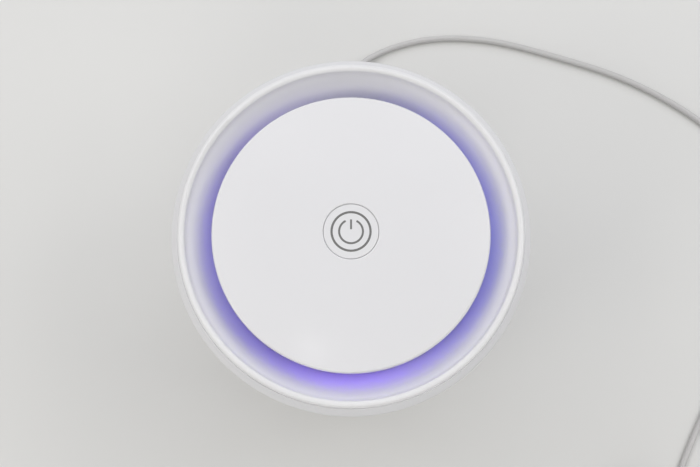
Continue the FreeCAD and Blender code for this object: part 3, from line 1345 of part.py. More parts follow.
def power_cord():
    """Thin round lead to the coil and the short free end beyond it."""
    return Part.makeCompound([tube(cord_route(), CORD_RADIUS), tube(tail_route(), CORD_RADIUS)])


def rounded_corners(near, far, low, high, rounding):
    """Corners of a rounded rectangle."""
    return [(near, low, rounding), (far, low, rounding), (far, high, rounding), (near, high, rounding)]


def cord_coil():
    """Coiled part of the lead as one rounded ring."""
    near = COIL_RADIUS - COIL_WIDTH / 2
    far = COIL_RADIUS + COIL_WIDTH / 2
    high = COIL_LIFT + COIL_HEIGHT
    coil = turned(rounded_corners(near, far, COIL_LIFT, high, CORD_RADIUS))
    coil.translate(COIL_CENTRE)
    return coil


def cord_tie():
    """Band that holds the turns of the coil together."""
    sweep = math.degrees(TIE_WIDTH / COIL_RADIUS)
    bands = []
    for gap in (FACE_GAP / 2, FACE_GAP / 2 + TIE_DEPTH):
        near = COIL_RADIUS - COIL_WIDTH / 2 - gap
        far = COIL_RADIUS + COIL_WIDTH / 2 + gap
        high = COIL_LIFT + COIL_HEIGHT + gap
        corners = rounded_corners(near, far, COIL_LIFT - gap, high, CORD_RADIUS + gap)
        bands.append(turned(corners, sweep, TIE_ANGLE - sweep / 2))
    band = bands[1].cut(bands[0])
    band.translate(COIL_CENTRE)
    return band


def usb_face():
    """Centre of the face of the far plug's grip, from which the metal shell points along -X."""
    mouth = tail_route()[-1]
    return V(mouth.x - USB_RELIEF - USB_BODY[0], mouth.y, USB_BODY[2] / 2)


def usb_plug_body():
    """Moulded grip of the far plug with its tapered relief."""
    length, width, height = USB_BODY
    face = usb_face()
    grip = block(USB_BODY, (face.x + length / 2, face.y, face.z))
    grip = grip.makeFillet(USB_ROUND, grip.Edges)
    root = height / 2 - USB_ROUND / 2
    start = face + V(length - OVER, 0, 0)
    relief = Part.makeCone(root, CORD_RADIUS + SHADOW_GAP, USB_RELIEF + OVER, start, V(1, 0, 0))
    return joined(grip, [relief])


def usb_plug_shell():
    """Metal shell of the far plug."""
    length, width, height = USB_SHELL
    face = usb_face()
    centre = (face.x - length / 2, face.y, face.z)
    wall = 2 * USB_SHELL_WALL
    return block(USB_SHELL, centre).cut(block((length + 2, width - wall, height - wall), centre))


def usb_plug_tongue():
    """Plastic tongue inside the shell of the far plug."""
    length, width, height = USB_SHELL
    face = usb_face()
    size = (length - FACE_GAP, width - 2 * USB_SHELL_WALL, height * USB_TONGUE_SHARE)
    return block(size, (face.x - size[0] / 2, face.y, face.z - (height - size[2]) / 2 + USB_SHELL_WALL))


def nodes():
    """Every piece of the purifier by node name."""
    return {
        "outlet_bowl": outlet_bowl(),
        "body_shell": body_shell(),
        "intake_shell": intake_shell(),
        "base_cover": base_cover(),
        "foot_pads": foot_pads(),
        "mid_plate": mid_plate(),
        "inlet_guard": inlet_guard(),
        "shell_screws": shell_screws(),
        "top_disc": top_disc(),
        "power_button": power_button(),
        "light_diffuser": light_diffuser(),
        "lamp_tray": lamp_tray(),
        "disc_screws": disc_screws(),
        "tray_screws": tray_screws(),
        "led_board": led_board(),
        "lamp_leds": lamp_leds(),
        "control_board": control_board(),
        "board_parts": board_parts(),
        "board_screws": board_screws(),
        "tact_switch": tact_switch(),
        "switch_plunger": switch_plunger(),
        "fan_duct": fan_duct(),
        "duct_screws": duct_screws(),
        "vane_ring": vane_ring(),
        "impeller": impeller(),
        "rotor_cup": rotor_cup(),
        "rotor_magnets": rotor_magnets(),
        "motor_shaft": motor_shaft(),
        "lower_bearing": bearing(TUBE_LOW),
        "upper_bearing": bearing(MOUNT_LOW - BEARING_HEIGHT),
        "motor_mount": motor_mount(),
        "motor_dampers": motor_dampers(),
        "motor_screws": motor_screws(),
        "stator_core": stator_core(),
        "stator_coils": stator_coils(),
        "motor_board": motor_board(),
        "motor_lead": motor_lead(),
        "filter_bottom_cap": filter_cap(FILTER_LOW),
        "filter_top_cap": filter_cap(FILTER_TOP - FILTER_CAP),
        "filter_prefilter": sleeve(FILTER_RADIUS - PREFILTER_WALL, FILTER_RADIUS),
        "filter_carbon": sleeve(FILTER_BORE, FILTER_BORE + CARBON_WALL),
        "filter_pleats": pleated_medium(),
        "filter_seal": filter_seal(),
        "filter_tab": filter_tab(),
        "dc_socket": dc_socket(),
        "power_harness": power_harness(),
        "plug_barrel": plug_barrel(),
        "dc_plug": dc_plug(),
        "power_cord": power_cord(),
        "cord_coil": cord_coil(),
        "cord_tie": cord_tie(),
        "usb_plug_body": usb_plug_body(),
        "usb_plug_shell": usb_plug_shell(),
        "usb_plug_tongue": usb_plug_tongue(),
    }


os.makedirs("parts", exist_ok=True)
for node, solid in nodes().items():
    solid.exportStep("parts/" + node + ".step")
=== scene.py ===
"""Looks of a round desktop air purifier: white housing, lit outlet, printed button and lead."""

import json
import logging
import math
from collections.abc import Iterable, Sequence
from dataclasses import dataclass, field
from enum import Enum

import bmesh
import bpy
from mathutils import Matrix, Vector


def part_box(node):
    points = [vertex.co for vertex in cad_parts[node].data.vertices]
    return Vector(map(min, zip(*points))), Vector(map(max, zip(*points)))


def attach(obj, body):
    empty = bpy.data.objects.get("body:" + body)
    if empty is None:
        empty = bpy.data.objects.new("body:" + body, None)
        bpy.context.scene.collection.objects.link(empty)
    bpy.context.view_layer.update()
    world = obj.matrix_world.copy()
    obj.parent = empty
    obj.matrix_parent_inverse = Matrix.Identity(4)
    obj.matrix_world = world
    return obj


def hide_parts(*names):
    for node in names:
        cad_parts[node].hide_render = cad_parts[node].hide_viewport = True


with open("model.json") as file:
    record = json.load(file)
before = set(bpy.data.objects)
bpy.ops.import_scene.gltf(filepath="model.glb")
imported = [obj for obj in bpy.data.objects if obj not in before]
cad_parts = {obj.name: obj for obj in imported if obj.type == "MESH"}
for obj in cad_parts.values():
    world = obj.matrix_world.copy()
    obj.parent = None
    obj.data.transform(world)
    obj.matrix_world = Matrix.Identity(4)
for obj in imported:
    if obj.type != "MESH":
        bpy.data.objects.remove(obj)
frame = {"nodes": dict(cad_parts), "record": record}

LOG = logging.getLogger("air_purifier")
MM = 0.001

Point = tuple[float, float, float]
Colour = tuple[float, float, float, float]
Settings = dict[str | int, object]
Links = dict[str | int, bpy.types.NodeSocket]

# Socket numbers of a Mix node for colours, whose names repeat for each kind of value.
MIX_FACTOR, MIX_A, MIX_B, MIX_RESULT = 0, 6, 7, 2

# Values between which a noise texture stays nearly everywhere.
NOISE_LOW, NOISE_HIGH = 0.3, 0.7

# A wave texture of scale 1 repeats each 0.31 of its space. At this share of the scale that a pitch
# gives, a weave comes out twice as coarse as its pitch.
WAVE_SHARE = 0.16


def linear(code: str) -> Colour:
    """Turn an sRGB hex colour into linear values.

    Args:
        code: Six hex digits, such as "e8e8ea".

    Returns:
        Red, green, blue and an alpha of 1.
    """
    values = []
    for i in (0, 2, 4):
        part = int(code[i:i + 2], 16) / 255
        values.append(part / 12.92 if part <= 0.04045 else ((part + 0.055) / 1.055) ** 2.4)
    return values[0], values[1], values[2], 1.0


def scaled(colour: Colour, factor: float) -> Colour:
    """Make a linear colour darker or brighter, up to white."""
    return (*(min(part * factor, 1.0) for part in colour[:3]), 1.0)


def metres(points: Iterable[Point]) -> list[Point]:
    """Turn points in millimetres into metres."""
    return [tuple(part * MM for part in point) for point in points]


def add_node(
    tree: bpy.types.NodeTree,
    kind: str,
    settings: Settings | None = None,
    links: Links | None = None,
) -> bpy.types.Node:
    """Add one node with its settings and links.

    Args:
        tree: The material's node tree.
        kind: The node's type name.
        settings: Values by attribute name, or by input name or number.
        links: Source sockets by input name or number.

    Returns:
        The new node.
    """
    node = tree.nodes.new(kind)
    for key, value in (settings or {}).items():
        if isinstance(key, str) and hasattr(node, key):
            setattr(node, key, value)
        else:
            node.inputs[key].default_value = value
    for key, socket in (links or {}).items():
        tree.links.new(socket, node.inputs[key])
    return node


def blank_material(name: str) -> tuple[bpy.types.Material, bpy.types.NodeTree]:
    """Make a material with an empty node tree.

    Args:
        name: The material's name.

    Returns:
        The material and its tree.
    """
    material = bpy.data.materials.new(name)
    material.use_nodes = True
    material.node_tree.nodes.clear()
    return material, material.node_tree


# Finishes


@dataclass(frozen=True)
class Moulded:
    """Injection-moulded or cast plastic or rubber with a fine spark-eroded texture from its tool.

    The texture breaks up the gloss, and a faint unevenness of tone comes from how the melt flowed.
    """

    name: str
    colour: str
    roughness: float
    ior: float = 1.53
    grain_mm: float = 0.7
    relief: float = 0.02  # strength of the grain's bump
    relief_depth: float = 0.2  # its depth as a share of the grain's width
    flow_scale: float = 22.0  # clouds of the flow in a metre, one about every 45 mm
    tone: float = 0.012  # how far the tone wanders either way
    gloss: tuple[float, float] = (-0.03, 0.04)  # how far the roughness wanders
    coat: float = 0.0
    coat_roughness: float = 0.12

    def build(self) -> bpy.types.Material:
        """Make the material.

        Returns:
            The material.
        """
        material, tree = blank_material(self.name)
        place = add_node(tree, "ShaderNodeTexCoord").outputs["Object"]
        width = self.grain_mm * MM
        grain = add_node(
            tree,
            "ShaderNodeTexNoise",
            {"Scale": 1 / width, "Detail": 2.0, "Roughness": 0.6},
            {"Vector": place},
        )
        flow = add_node(
            tree,
            "ShaderNodeTexNoise",
            {"Scale": self.flow_scale, "Detail": 3.0},
            {"Vector": place},
        ).outputs["Fac"]
        base = linear(self.colour)
        low, high = scaled(base, 1 - self.tone), scaled(base, 1 + self.tone)
        tones = add_node(
            tree,
            "ShaderNodeMix",
            {"data_type": "RGBA", MIX_A: low, MIX_B: high},
            {MIX_FACTOR: flow},
        )
        smooth, rough = (self.roughness + change for change in self.gloss)
        gloss = add_node(
            tree,
            "ShaderNodeMapRange",
            {
                "From Min": NOISE_LOW,
                "From Max": NOISE_HIGH,
                "To Min": smooth,
                "To Max": rough,
            },
            {"Value": flow},
        )
        bump = add_node(
            tree,
            "ShaderNodeBump",
            {"Strength": self.relief, "Distance": width * self.relief_depth},
            {"Height": grain.outputs["Fac"]},
        )
        shader = add_node(
            tree,
            "ShaderNodeBsdfPrincipled",
            {"IOR": self.ior, "Coat Weight": self.coat, "Coat Roughness": self.coat_roughness},
            {
                "Base Color": tones.outputs[MIX_RESULT],
                "Roughness": gloss.outputs[0],
                "Normal": bump.outputs[0],
            },
        )
        add_node(tree, "ShaderNodeOutputMaterial", links={"Surface": shader.outputs[0]})
        return material


@dataclass(frozen=True)
class PaintedShadeMoulding(Moulded):
    """Moulded plastic whose tone changes with height.

    Its tone by height is painted shade and light: darker where shade falls, lighter where lit.
    """

    # Stops of painted shade and painted light: height in millimetres and tone, from below.
    painted_shade_stops: tuple[tuple[float, str], ...] = ()  # height in millimetres and tone, from below

    def build(self) -> bpy.types.Material:
        """Make the material.

        Returns:
            The material.
        """
        material = super().build()
        tree = material.node_tree
        shader = next(node for node in tree.nodes if node.type == "BSDF_PRINCIPLED")
        skin = shader.inputs["Base Color"]
        place = add_node(tree, "ShaderNodeTexCoord").outputs["Object"]
        height = add_node(tree, "ShaderNodeSeparateXYZ", links={"Vector": place}).outputs["Z"]
        lowest, highest = self.painted_shade_stops[0][0], self.painted_shade_stops[-1][0]
        share = add_node(
            tree,
            "ShaderNodeMapRange",
            {"From Min": lowest * MM, "From Max": highest * MM},
            {"Value": height},
        )
        ramp = add_node(tree, "ShaderNodeValToRGB", links={"Fac": share.outputs[0]})
        bands = ramp.color_ramp.elements
        while len(bands) < len(self.painted_shade_stops):
            bands.new(0.5)
        for band, (stop, colour) in zip(bands, self.painted_shade_stops):
            band.position = (stop - lowest) / (highest - lowest)
            band.color = linear(colour)
        # Painted shade and painted light: the tone by height multiplies the base tone.
        painted_shade = add_node(
            tree,
            "ShaderNodeMix",
            {"data_type": "RGBA", "blend_type": "MULTIPLY", MIX_FACTOR: 1.0},
            {MIX_A: skin.links[0].from_socket, MIX_B: ramp.outputs["Color"]},
        )
        tree.links.new(painted_shade.outputs[MIX_RESULT], skin)
        return material


@dataclass(frozen=True)
class Metal:
    """Bare or plated metal with fine marks from how it was drawn, ground or rolled.

    The marks run along one direction and stretch the highlights across it.
    """

    name: str
    colour: str
    roughness: float
    mark_mm: float = 0.4
    stretch: Point = (1.0, 1.0, 12.0)
    largest: float = 0.3  # the largest marks are mark_mm over this, with finer ones in them
    dark: float = 0.86  # tone of the marks against the rest
    gloss: tuple[float, float] = (-0.06, 0.1)  # how far the roughness wanders
    relief: float = 0.05  # strength of the marks' bump
    relief_mm: float = 0.1

    def build(self) -> bpy.types.Material:
        """Make the material.

        Returns:
            The material.
        """
        material, tree = blank_material(self.name)
        place = add_node(tree, "ShaderNodeTexCoord").outputs["Object"]
        turned = add_node(tree, "ShaderNodeMapping", {"Scale": self.stretch}, {"Vector": place})
        marks = add_node(
            tree,
            "ShaderNodeTexNoise",
            {"Scale": self.largest / (self.mark_mm * MM), "Detail": 4.0},
            {"Vector": turned.outputs[0]},
        ).outputs["Fac"]
        base = linear(self.colour)
        tones = add_node(
            tree,
            "ShaderNodeMix",
            {"data_type": "RGBA", MIX_A: scaled(base, self.dark), MIX_B: base},
            {MIX_FACTOR: marks},
        )
        smooth, rough = (self.roughness + change for change in self.gloss)
        gloss = add_node(
            tree, "ShaderNodeMapRange", {"To Min": smooth, "To Max": rough}, {"Value": marks}
        )
        bump = add_node(
            tree,
            "ShaderNodeBump",
            {"Strength": self.relief, "Distance": self.relief_mm * MM},
            {"Height": marks},
        )
        shader = add_node(
            tree,
            "ShaderNodeBsdfPrincipled",
            {"Metallic": 1.0},
            {
                "Base Color": tones.outputs[MIX_RESULT],
                "Roughness": gloss.outputs[0],
                "Normal": bump.outputs[0],
            },
        )
        add_node(tree, "ShaderNodeOutputMaterial", links={"Surface": shader.outputs[0]})
        return material


class Weave(Enum):
    """Make-up of the sheet media and ribbons."""

    MESH = "open square mesh"
    FIBRE = "random fibres"
    RIBBON = "ribbed ribbon"


@dataclass(frozen=True)
class Media:
    """Fibrous sheet, mesh, felt or ribbon of the filter.

    Threads or fibres scatter the light, so nothing on it shines.
    """

    name: str
    colour: str
    weave: Weave
    pitch_mm: float
    # Painted shade: the gaps between the threads are darkened by this share.
    dark: float = 0.55  # tone of the gaps against the threads
    drum_mm: float = 48.0  # radius of the filter
    relief: float = 0.4  # strength of the threads' bump
    relief_mm: float = 0.3

    def unrolled(
        self, tree: bpy.types.NodeTree, place: bpy.types.NodeSocket
    ) -> bpy.types.NodeSocket:
        """Lay the pattern round the filter's drum instead of straight through it.

        Args:
            tree: The material's node tree.
            place: The place in the object's own frame.

        Returns:
            The way round the drum as X.
        """
        parts = add_node(tree, "ShaderNodeSeparateXYZ", links={"Vector": place}).outputs
        angle = add_node(
            tree, "ShaderNodeMath", {"operation": "ARCTAN2"}, {0: parts["Y"], 1: parts["X"]}
        )
        way = add_node(
            tree,
            "ShaderNodeMath",
            {"operation": "MULTIPLY", 1: self.drum_mm * MM},
            {0: angle.outputs[0]},
        )
        return add_node(tree, "ShaderNodeCombineXYZ", links={"X": way.outputs[0]}).outputs[0]

    def pattern(self, tree: bpy.types.NodeTree) -> bpy.types.NodeSocket:
        """Draw the fibres, the mesh or the ribs.

        Args:
            tree: The material's node tree.

        Returns:
            One on a thread, nought in a gap.
        """
        place = add_node(tree, "ShaderNodeTexCoord").outputs["Object"]
        scale = 1 / (self.pitch_mm * MM)
        if self.weave is Weave.FIBRE:
            fibres = {"Scale": scale, "Detail": 6.0, "Roughness": 0.75}
            return add_node(tree, "ShaderNodeTexNoise", fibres, {"Vector": place}).outputs["Fac"]
        wave = {"bands_direction": "Z", "Scale": scale * WAVE_SHARE}
        rows = add_node(tree, "ShaderNodeTexWave", wave, {"Vector": place}).outputs["Fac"]
        if self.weave is Weave.MESH:
            wave["bands_direction"] = "X"
            place = self.unrolled(tree, place)
        else:
            wave["Distortion"] = 2.0
        columns = add_node(tree, "ShaderNodeTexWave", wave, {"Vector": place}).outputs["Fac"]
        both = add_node(
            tree, "ShaderNodeMath", {"operation": "MAXIMUM"}, {0: rows, 1: columns}
        )
        return both.outputs[0]

    def build(self) -> bpy.types.Material:
        """Make the material.

        Returns:
            The material.
        """
        material, tree = blank_material(self.name)
        threads = self.pattern(tree)
        base = linear(self.colour)
        tones = add_node(
            tree,
            "ShaderNodeMix",
            {"data_type": "RGBA", MIX_A: scaled(base, self.dark), MIX_B: base},
            {MIX_FACTOR: threads},
        )
        bump = add_node(
            tree,
            "ShaderNodeBump",
            {"Strength": self.relief, "Distance": self.relief_mm * MM},
            {"Height": threads},
        )
        shader = add_node(
            tree,
            "ShaderNodeBsdfPrincipled",
            {"Roughness": 0.9, "Sheen Weight": 0.2, "Sheen Roughness": 0.5},
            {"Base Color": tones.outputs[MIX_RESULT], "Normal": bump.outputs[0]},
        )
        add_node(tree, "ShaderNodeOutputMaterial", links={"Surface": shader.outputs[0]})
        return material


@dataclass(frozen=True)
class LitDiffuser:
    """Frosted polycarbonate ring with lamps behind it.

    Its flange shines down into the bowl, and its upright wall, which the lamps don't face, is much
    dimmer. The glow is violet and brightest at the front, bluer at the right and faint at the back.
    """

    name: str
    around: tuple[str, ...]
    flange: float
    wall: float
    body_colour: str = "d8d8ec"
    facing: tuple[float, float] = (-0.9, -0.5)  # the normal's Z where the flange turns to wall

    def build(self) -> bpy.types.Material:
        """Make the material.

        Returns:
            The material.
        """
        material, tree = blank_material(self.name)
        place = add_node(tree, "ShaderNodeTexCoord").outputs["Object"]
        parts = add_node(tree, "ShaderNodeSeparateXYZ", links={"Vector": place}).outputs
        angle = add_node(
            tree, "ShaderNodeMath", {"operation": "ARCTAN2"}, {0: parts["Y"], 1: parts["X"]}
        )
        share = add_node(
            tree,
            "ShaderNodeMapRange",
            {"From Min": -math.pi, "From Max": math.pi, "To Min": 0.0, "To Max": 1.0},
            {"Value": angle.outputs[0]},
        )
        ramp = add_node(tree, "ShaderNodeValToRGB", links={"Fac": share.outputs[0]})
        ramp.color_ramp.interpolation = "EASE"
        bands = ramp.color_ramp.elements
        while len(bands) < len(self.around):
            bands.new(0.5)
        for i, (band, colour) in enumerate(zip(bands, self.around)):
            band.position = i / (len(self.around) - 1)
            band.color = linear(colour)
        normal = add_node(tree, "ShaderNodeNewGeometry").outputs["Normal"]
        rise = add_node(tree, "ShaderNodeSeparateXYZ", links={"Vector": normal}).outputs["Z"]
        down, out = self.facing
        power = add_node(
            tree,
            "ShaderNodeMapRange",
            {"From Min": down, "From Max": out, "To Min": self.flange, "To Max": self.wall},
            {"Value": rise},
        )
        shader = add_node(
            tree,
            "ShaderNodeBsdfPrincipled",
            {"Base Color": linear(self.body_colour), "Roughness": 0.5, "IOR": 1.58},
            {"Emission Color": ramp.outputs["Color"], "Emission Strength": power.outputs[0]},
        )
        add_node(tree, "ShaderNodeOutputMaterial", links={"Surface": shader.outputs[0]})
        return material


def shown(tree: bpy.types.NodeTree) -> bpy.types.NodeSocket:
    """Tell the rays that show a surface from those that only carry its light.

    The first are seen directly, in a gloss or through glass.

    Args:
        tree: The node tree to add to.

    Returns:
        One for a ray that shows the surface, otherwise nought.
    """
    path = add_node(tree, "ShaderNodeLightPath").outputs
    seen = path["Is Camera Ray"]
    for kind in ("Is Glossy Ray", "Is Transmission Ray"):
        either = {0: seen, 1: path[kind]}
        seen = add_node(tree, "ShaderNodeMath", {"operation": "MAXIMUM"}, either).outputs[0]
    return seen


@dataclass(frozen=True)
class TableTop:
    """Lacquered board: pale, nearly matte, with a very faint cloudiness in its gloss.

    Far from the object the camera sees it fade into the even colour of the backdrop.
    """

    name: str
    colour: str
    far_colour: str
    fade: tuple[float, float]
    roughness: float = 0.5
    grain_mm: float = 4.0
    relief: float = 0.01
    tone: float = 0.004

    def build(self) -> bpy.types.Material:
        """Make the material.

        Returns:
            The material.
        """
        material = Moulded(
            self.name,
            self.colour,
            self.roughness,
            grain_mm=self.grain_mm,
            relief=self.relief,
            tone=self.tone,
        ).build()
        tree = material.node_tree
        output = next(node for node in tree.nodes if node.type == "OUTPUT_MATERIAL")
        board = output.inputs["Surface"].links[0].from_socket
        place = add_node(tree, "ShaderNodeTexCoord").outputs["Object"]
        reach = add_node(tree, "ShaderNodeVectorMath", {"operation": "LENGTH"}, {0: place})
        near, far = self.fade
        fading = add_node(
            tree,
            "ShaderNodeMapRange",
            {"interpolation_type": "SMOOTHSTEP", "From Min": near, "From Max": far},
            {"Value": reach.outputs["Value"]},
        )
        share = add_node(
            tree,
            "ShaderNodeMath",
            {"operation": "MULTIPLY"},
            {0: fading.outputs[0], 1: shown(tree)},
        )
        glow = add_node(
            tree, "ShaderNodeEmission", {"Color": linear(self.far_colour), "Strength": 1.0}
        )
        both = add_node(
            tree, "ShaderNodeMixShader", links={0: share.outputs[0], 1: board, 2: glow.outputs[0]}
        )
        tree.links.new(both.outputs[0], output.inputs["Surface"])
        return material


Finish = Moulded | Metal | Media | LitDiffuser


# Colour and brightness of the glow from the left over the front, the right and the back to the
# left again, one every 45 degrees.
GLOW = (
    "4934b4", "5239bc", "8959ff", "4e3cc0", "3838ba", "4032ae", "2a2460", "422796", "4934b4",
)

# Painted shade by height in millimetres, from the throat over the wall to the crest of the lip.
# Painted shade in the throat and on the lip's crest, painted light on the wall.
BOWL_PAINTED_SHADE = ((151.0, "c3c3c9"), (161.0, "efeff1"), (172.5, "efeff1"), (174.8, "e1e1e2"))

# The finishes by the record's material slot. Sizes are the real ones unless a note says otherwise.
FINISHES: dict[str, Finish] = {
    # ABS from a finely spark-eroded tool: a soft sheen that never turns into a mirror. The grain
    # is drawn twice as coarse as the real 0.3 mm so that it shows.
    "white_abs": Moulded("white_abs", "dddddf", 0.36, grain_mm=0.6, coat=0.25),
    # The same ABS from smoother tools: the disc and its button are a little glossier.
    "disc_abs": Moulded("disc_abs", "dddddf", 0.33, grain_mm=0.6, relief=0.015, coat=0.25),
    "button_abs": Moulded("button_abs", "dddddf", 0.30, grain_mm=0.6, relief=0.01, coat=0.25),
    # The same ABS from a rougher tool: dull, with painted light on the bowl's wall and painted
    # shade on the lip and down in the throat.
    "bowl_abs_painted_shade": PaintedShadeMoulding("bowl_abs_painted_shade", "ffffff", 0.44, grain_mm=0.6, painted_shade_stops=BOWL_PAINTED_SHADE),
    # Pad-printing ink: a thin grey film, duller than the button under it.
    "symbol_ink": Moulded("grey_pad_ink", "6c6c6b", 0.55, grain_mm=0.5),
    # Frosted polycarbonate over the lamps: an even glow in which no lamp shows as a point.
    "milky_pc": LitDiffuser("frosted_polycarbonate", GLOW, flange=5.5, wall=0.12),
    # Plain polypropylene inside the housing: duller and waxier than the ABS outside.
    "inner_plastic": Moulded("white_polypropylene", "dededf", 0.5, ior=1.49, grain_mm=0.8),
    # Steel with a thin zinc plating: cool and satin.
    "screw_steel": Metal("zinc_plated_steel", "b4b6b8", 0.34),
    # Ground bearing steel: the brightest metal here, with fine marks round the shaft.
    "bearing_steel": Metal("ground_steel", "c2c3c5", 0.22, mark_mm=0.3),
    # Pressed electrical steel: dark and dull, with the long marks of rolling.
    "lamination_steel": Metal(
        "pressed_steel", "84868a", 0.42, mark_mm=0.5, stretch=(1.0, 1.0, 30.0)
    ),
    # Die-cast aluminium: pale, with a cloudy skin that has no direction.
    "mount_aluminium": Metal(
        "die_cast_aluminium", "c4c6c8", 0.45, mark_mm=0.8, stretch=(1.0, 1.0, 1.0)
    ),
    # Ferrite powder bonded in plastic: nearly black and dull.
    "ferrite": Moulded("bonded_ferrite", "2a2a2c", 0.6, grain_mm=0.5, relief=0.1),
    # Enamelled copper wire, drawn and wound: warm, with bright lines along the turns.
    "copper_wire": Metal(
        "enamelled_copper", "c4713f", 0.3, mark_mm=0.5, stretch=(1.0, 1.0, 40.0)
    ),
    # Epoxy laminate under a pale solder mask: smooth, with the weave faintly raised.
    "circuit_board": Moulded(
        "glass_epoxy_board", "d7ddd5", 0.4, ior=1.55, grain_mm=1.0, relief=0.05, coat=0.3
    ),
    # Silicone with yellow phosphor over the lamps' chips: smooth and creamy.
    "led_resin": Moulded("phosphor_silicone", "efe6b4", 0.25, ior=1.52, grain_mm=0.5),
    # Moulding compound of sockets, switches and chips: black with a fine dull grain.
    "black_epoxy": Moulded("black_epoxy", "202022", 0.45, grain_mm=0.4, relief=0.08),
    # Extruded PVC over the inner wires: black and softly matte.
    "wire_pvc": Moulded("wire_sleeve_pvc", "2c2c2e", 0.5, grain_mm=0.8),
    # Soft PVC of the lead: matte, light grey, with the slight drag marks of extrusion.
    "cord_pvc": Moulded(
        "lead_sleeve_pvc", "c0bfbe", 0.52, ior=1.52, grain_mm=1.2, relief=0.03, tone=0.02
    ),
    # Polyethylene band round the coil: pale and waxy.
    "tie_plastic": Moulded("pale_polyethylene", "dcdcdb", 0.5, grain_mm=0.8),
    # Nickel plating on steel: bright, a little warmer than bare steel.
    "nickel_plate": Metal("nickel_plated_steel", "c9c6bf", 0.2, mark_mm=0.6),
    # Thermoplastic rubber of the feet and the motor's dampers: grey, with no shine.
    "grey_rubber": Moulded(
        "thermoplastic_rubber", "66676a", 0.75, ior=1.5, grain_mm=0.6, relief=0.15
    ),
    # Polypropylene of the filter's end caps: light grey and plain.
    "filter_plastic": Moulded("grey_polypropylene", "d0d1d2", 0.5, grain_mm=0.8),
    # Nylon mesh, one thread each millimetre, drawn twice as coarse so that it shows: grey, with
    # painted shade in its holes.
    "prefilter_mesh": Media("nylon_mesh", "9a9da2", Weave.MESH, 1.0, dark=0.3),
    # Felt coated with carbon: black, with a tangle of fibres.
    "carbon_felt": Media("carbon_felt", "2c2c2d", Weave.FIBRE, 0.8),
    # Melt-blown fibre sheet in pleats: white and even.
    "filter_paper": Media("melt_blown_fibre", "efefec", Weave.FIBRE, 0.6, dark=0.85),
    # Open-cell polyurethane foam: painted shade in its pores.
    "seal_foam": Media("polyurethane_foam", "4a4b4d", Weave.FIBRE, 0.9, dark=0.4),
    # Woven polyester ribbon: ribs across it, drawn twice as coarse so that they show.
    "tab_ribbon": Media("polyester_ribbon", "dcdcde", Weave.RIBBON, 0.8, dark=0.8),
}

# Nodes with a finish of their own within their slot's material.
OWN_FINISHES = {"top_disc": "disc_abs", "outlet_bowl": "bowl_abs_painted_shade"}


class Wardrobe:
    """The materials, made once each and shared by the CAD nodes and the new pieces."""

    def __init__(self, finishes: dict[str, Finish]) -> None:
        """Make every material from the finish of its slot."""
        self.materials = {slot: finish.build() for slot, finish in finishes.items()}

    def dress(self, piece: bpy.types.Object, slot: str) -> None:
        """Give a piece the material of a slot."""
        piece.data.materials.clear()
        piece.data.materials.append(self.materials[slot])

    def dress_nodes(self) -> None:
        """Give each CAD node the material of its slot in the record, or its own finish."""
        for part in frame["record"]["subparts"]:
            slot = OWN_FINISHES.get(part["node"], part["material_slot"])
            self.dress(frame["nodes"][part["node"]], slot)


def mesh_object(name: str, build: bmesh.types.BMesh) -> bpy.types.Object:
    """Turn a built mesh into an object in the scene.

    Args:
        name: The piece's name.
        build: The mesh, which is freed.

    Returns:
        The object.
    """
    mesh = bpy.data.meshes.new(name)
    bmesh.ops.recalc_face_normals(build, faces=build.faces[:])
    build.to_mesh(mesh)
    build.free()
    piece = bpy.data.objects.new(name, mesh)
    bpy.context.scene.collection.objects.link(piece)
    return piece


# Sub-assemblies


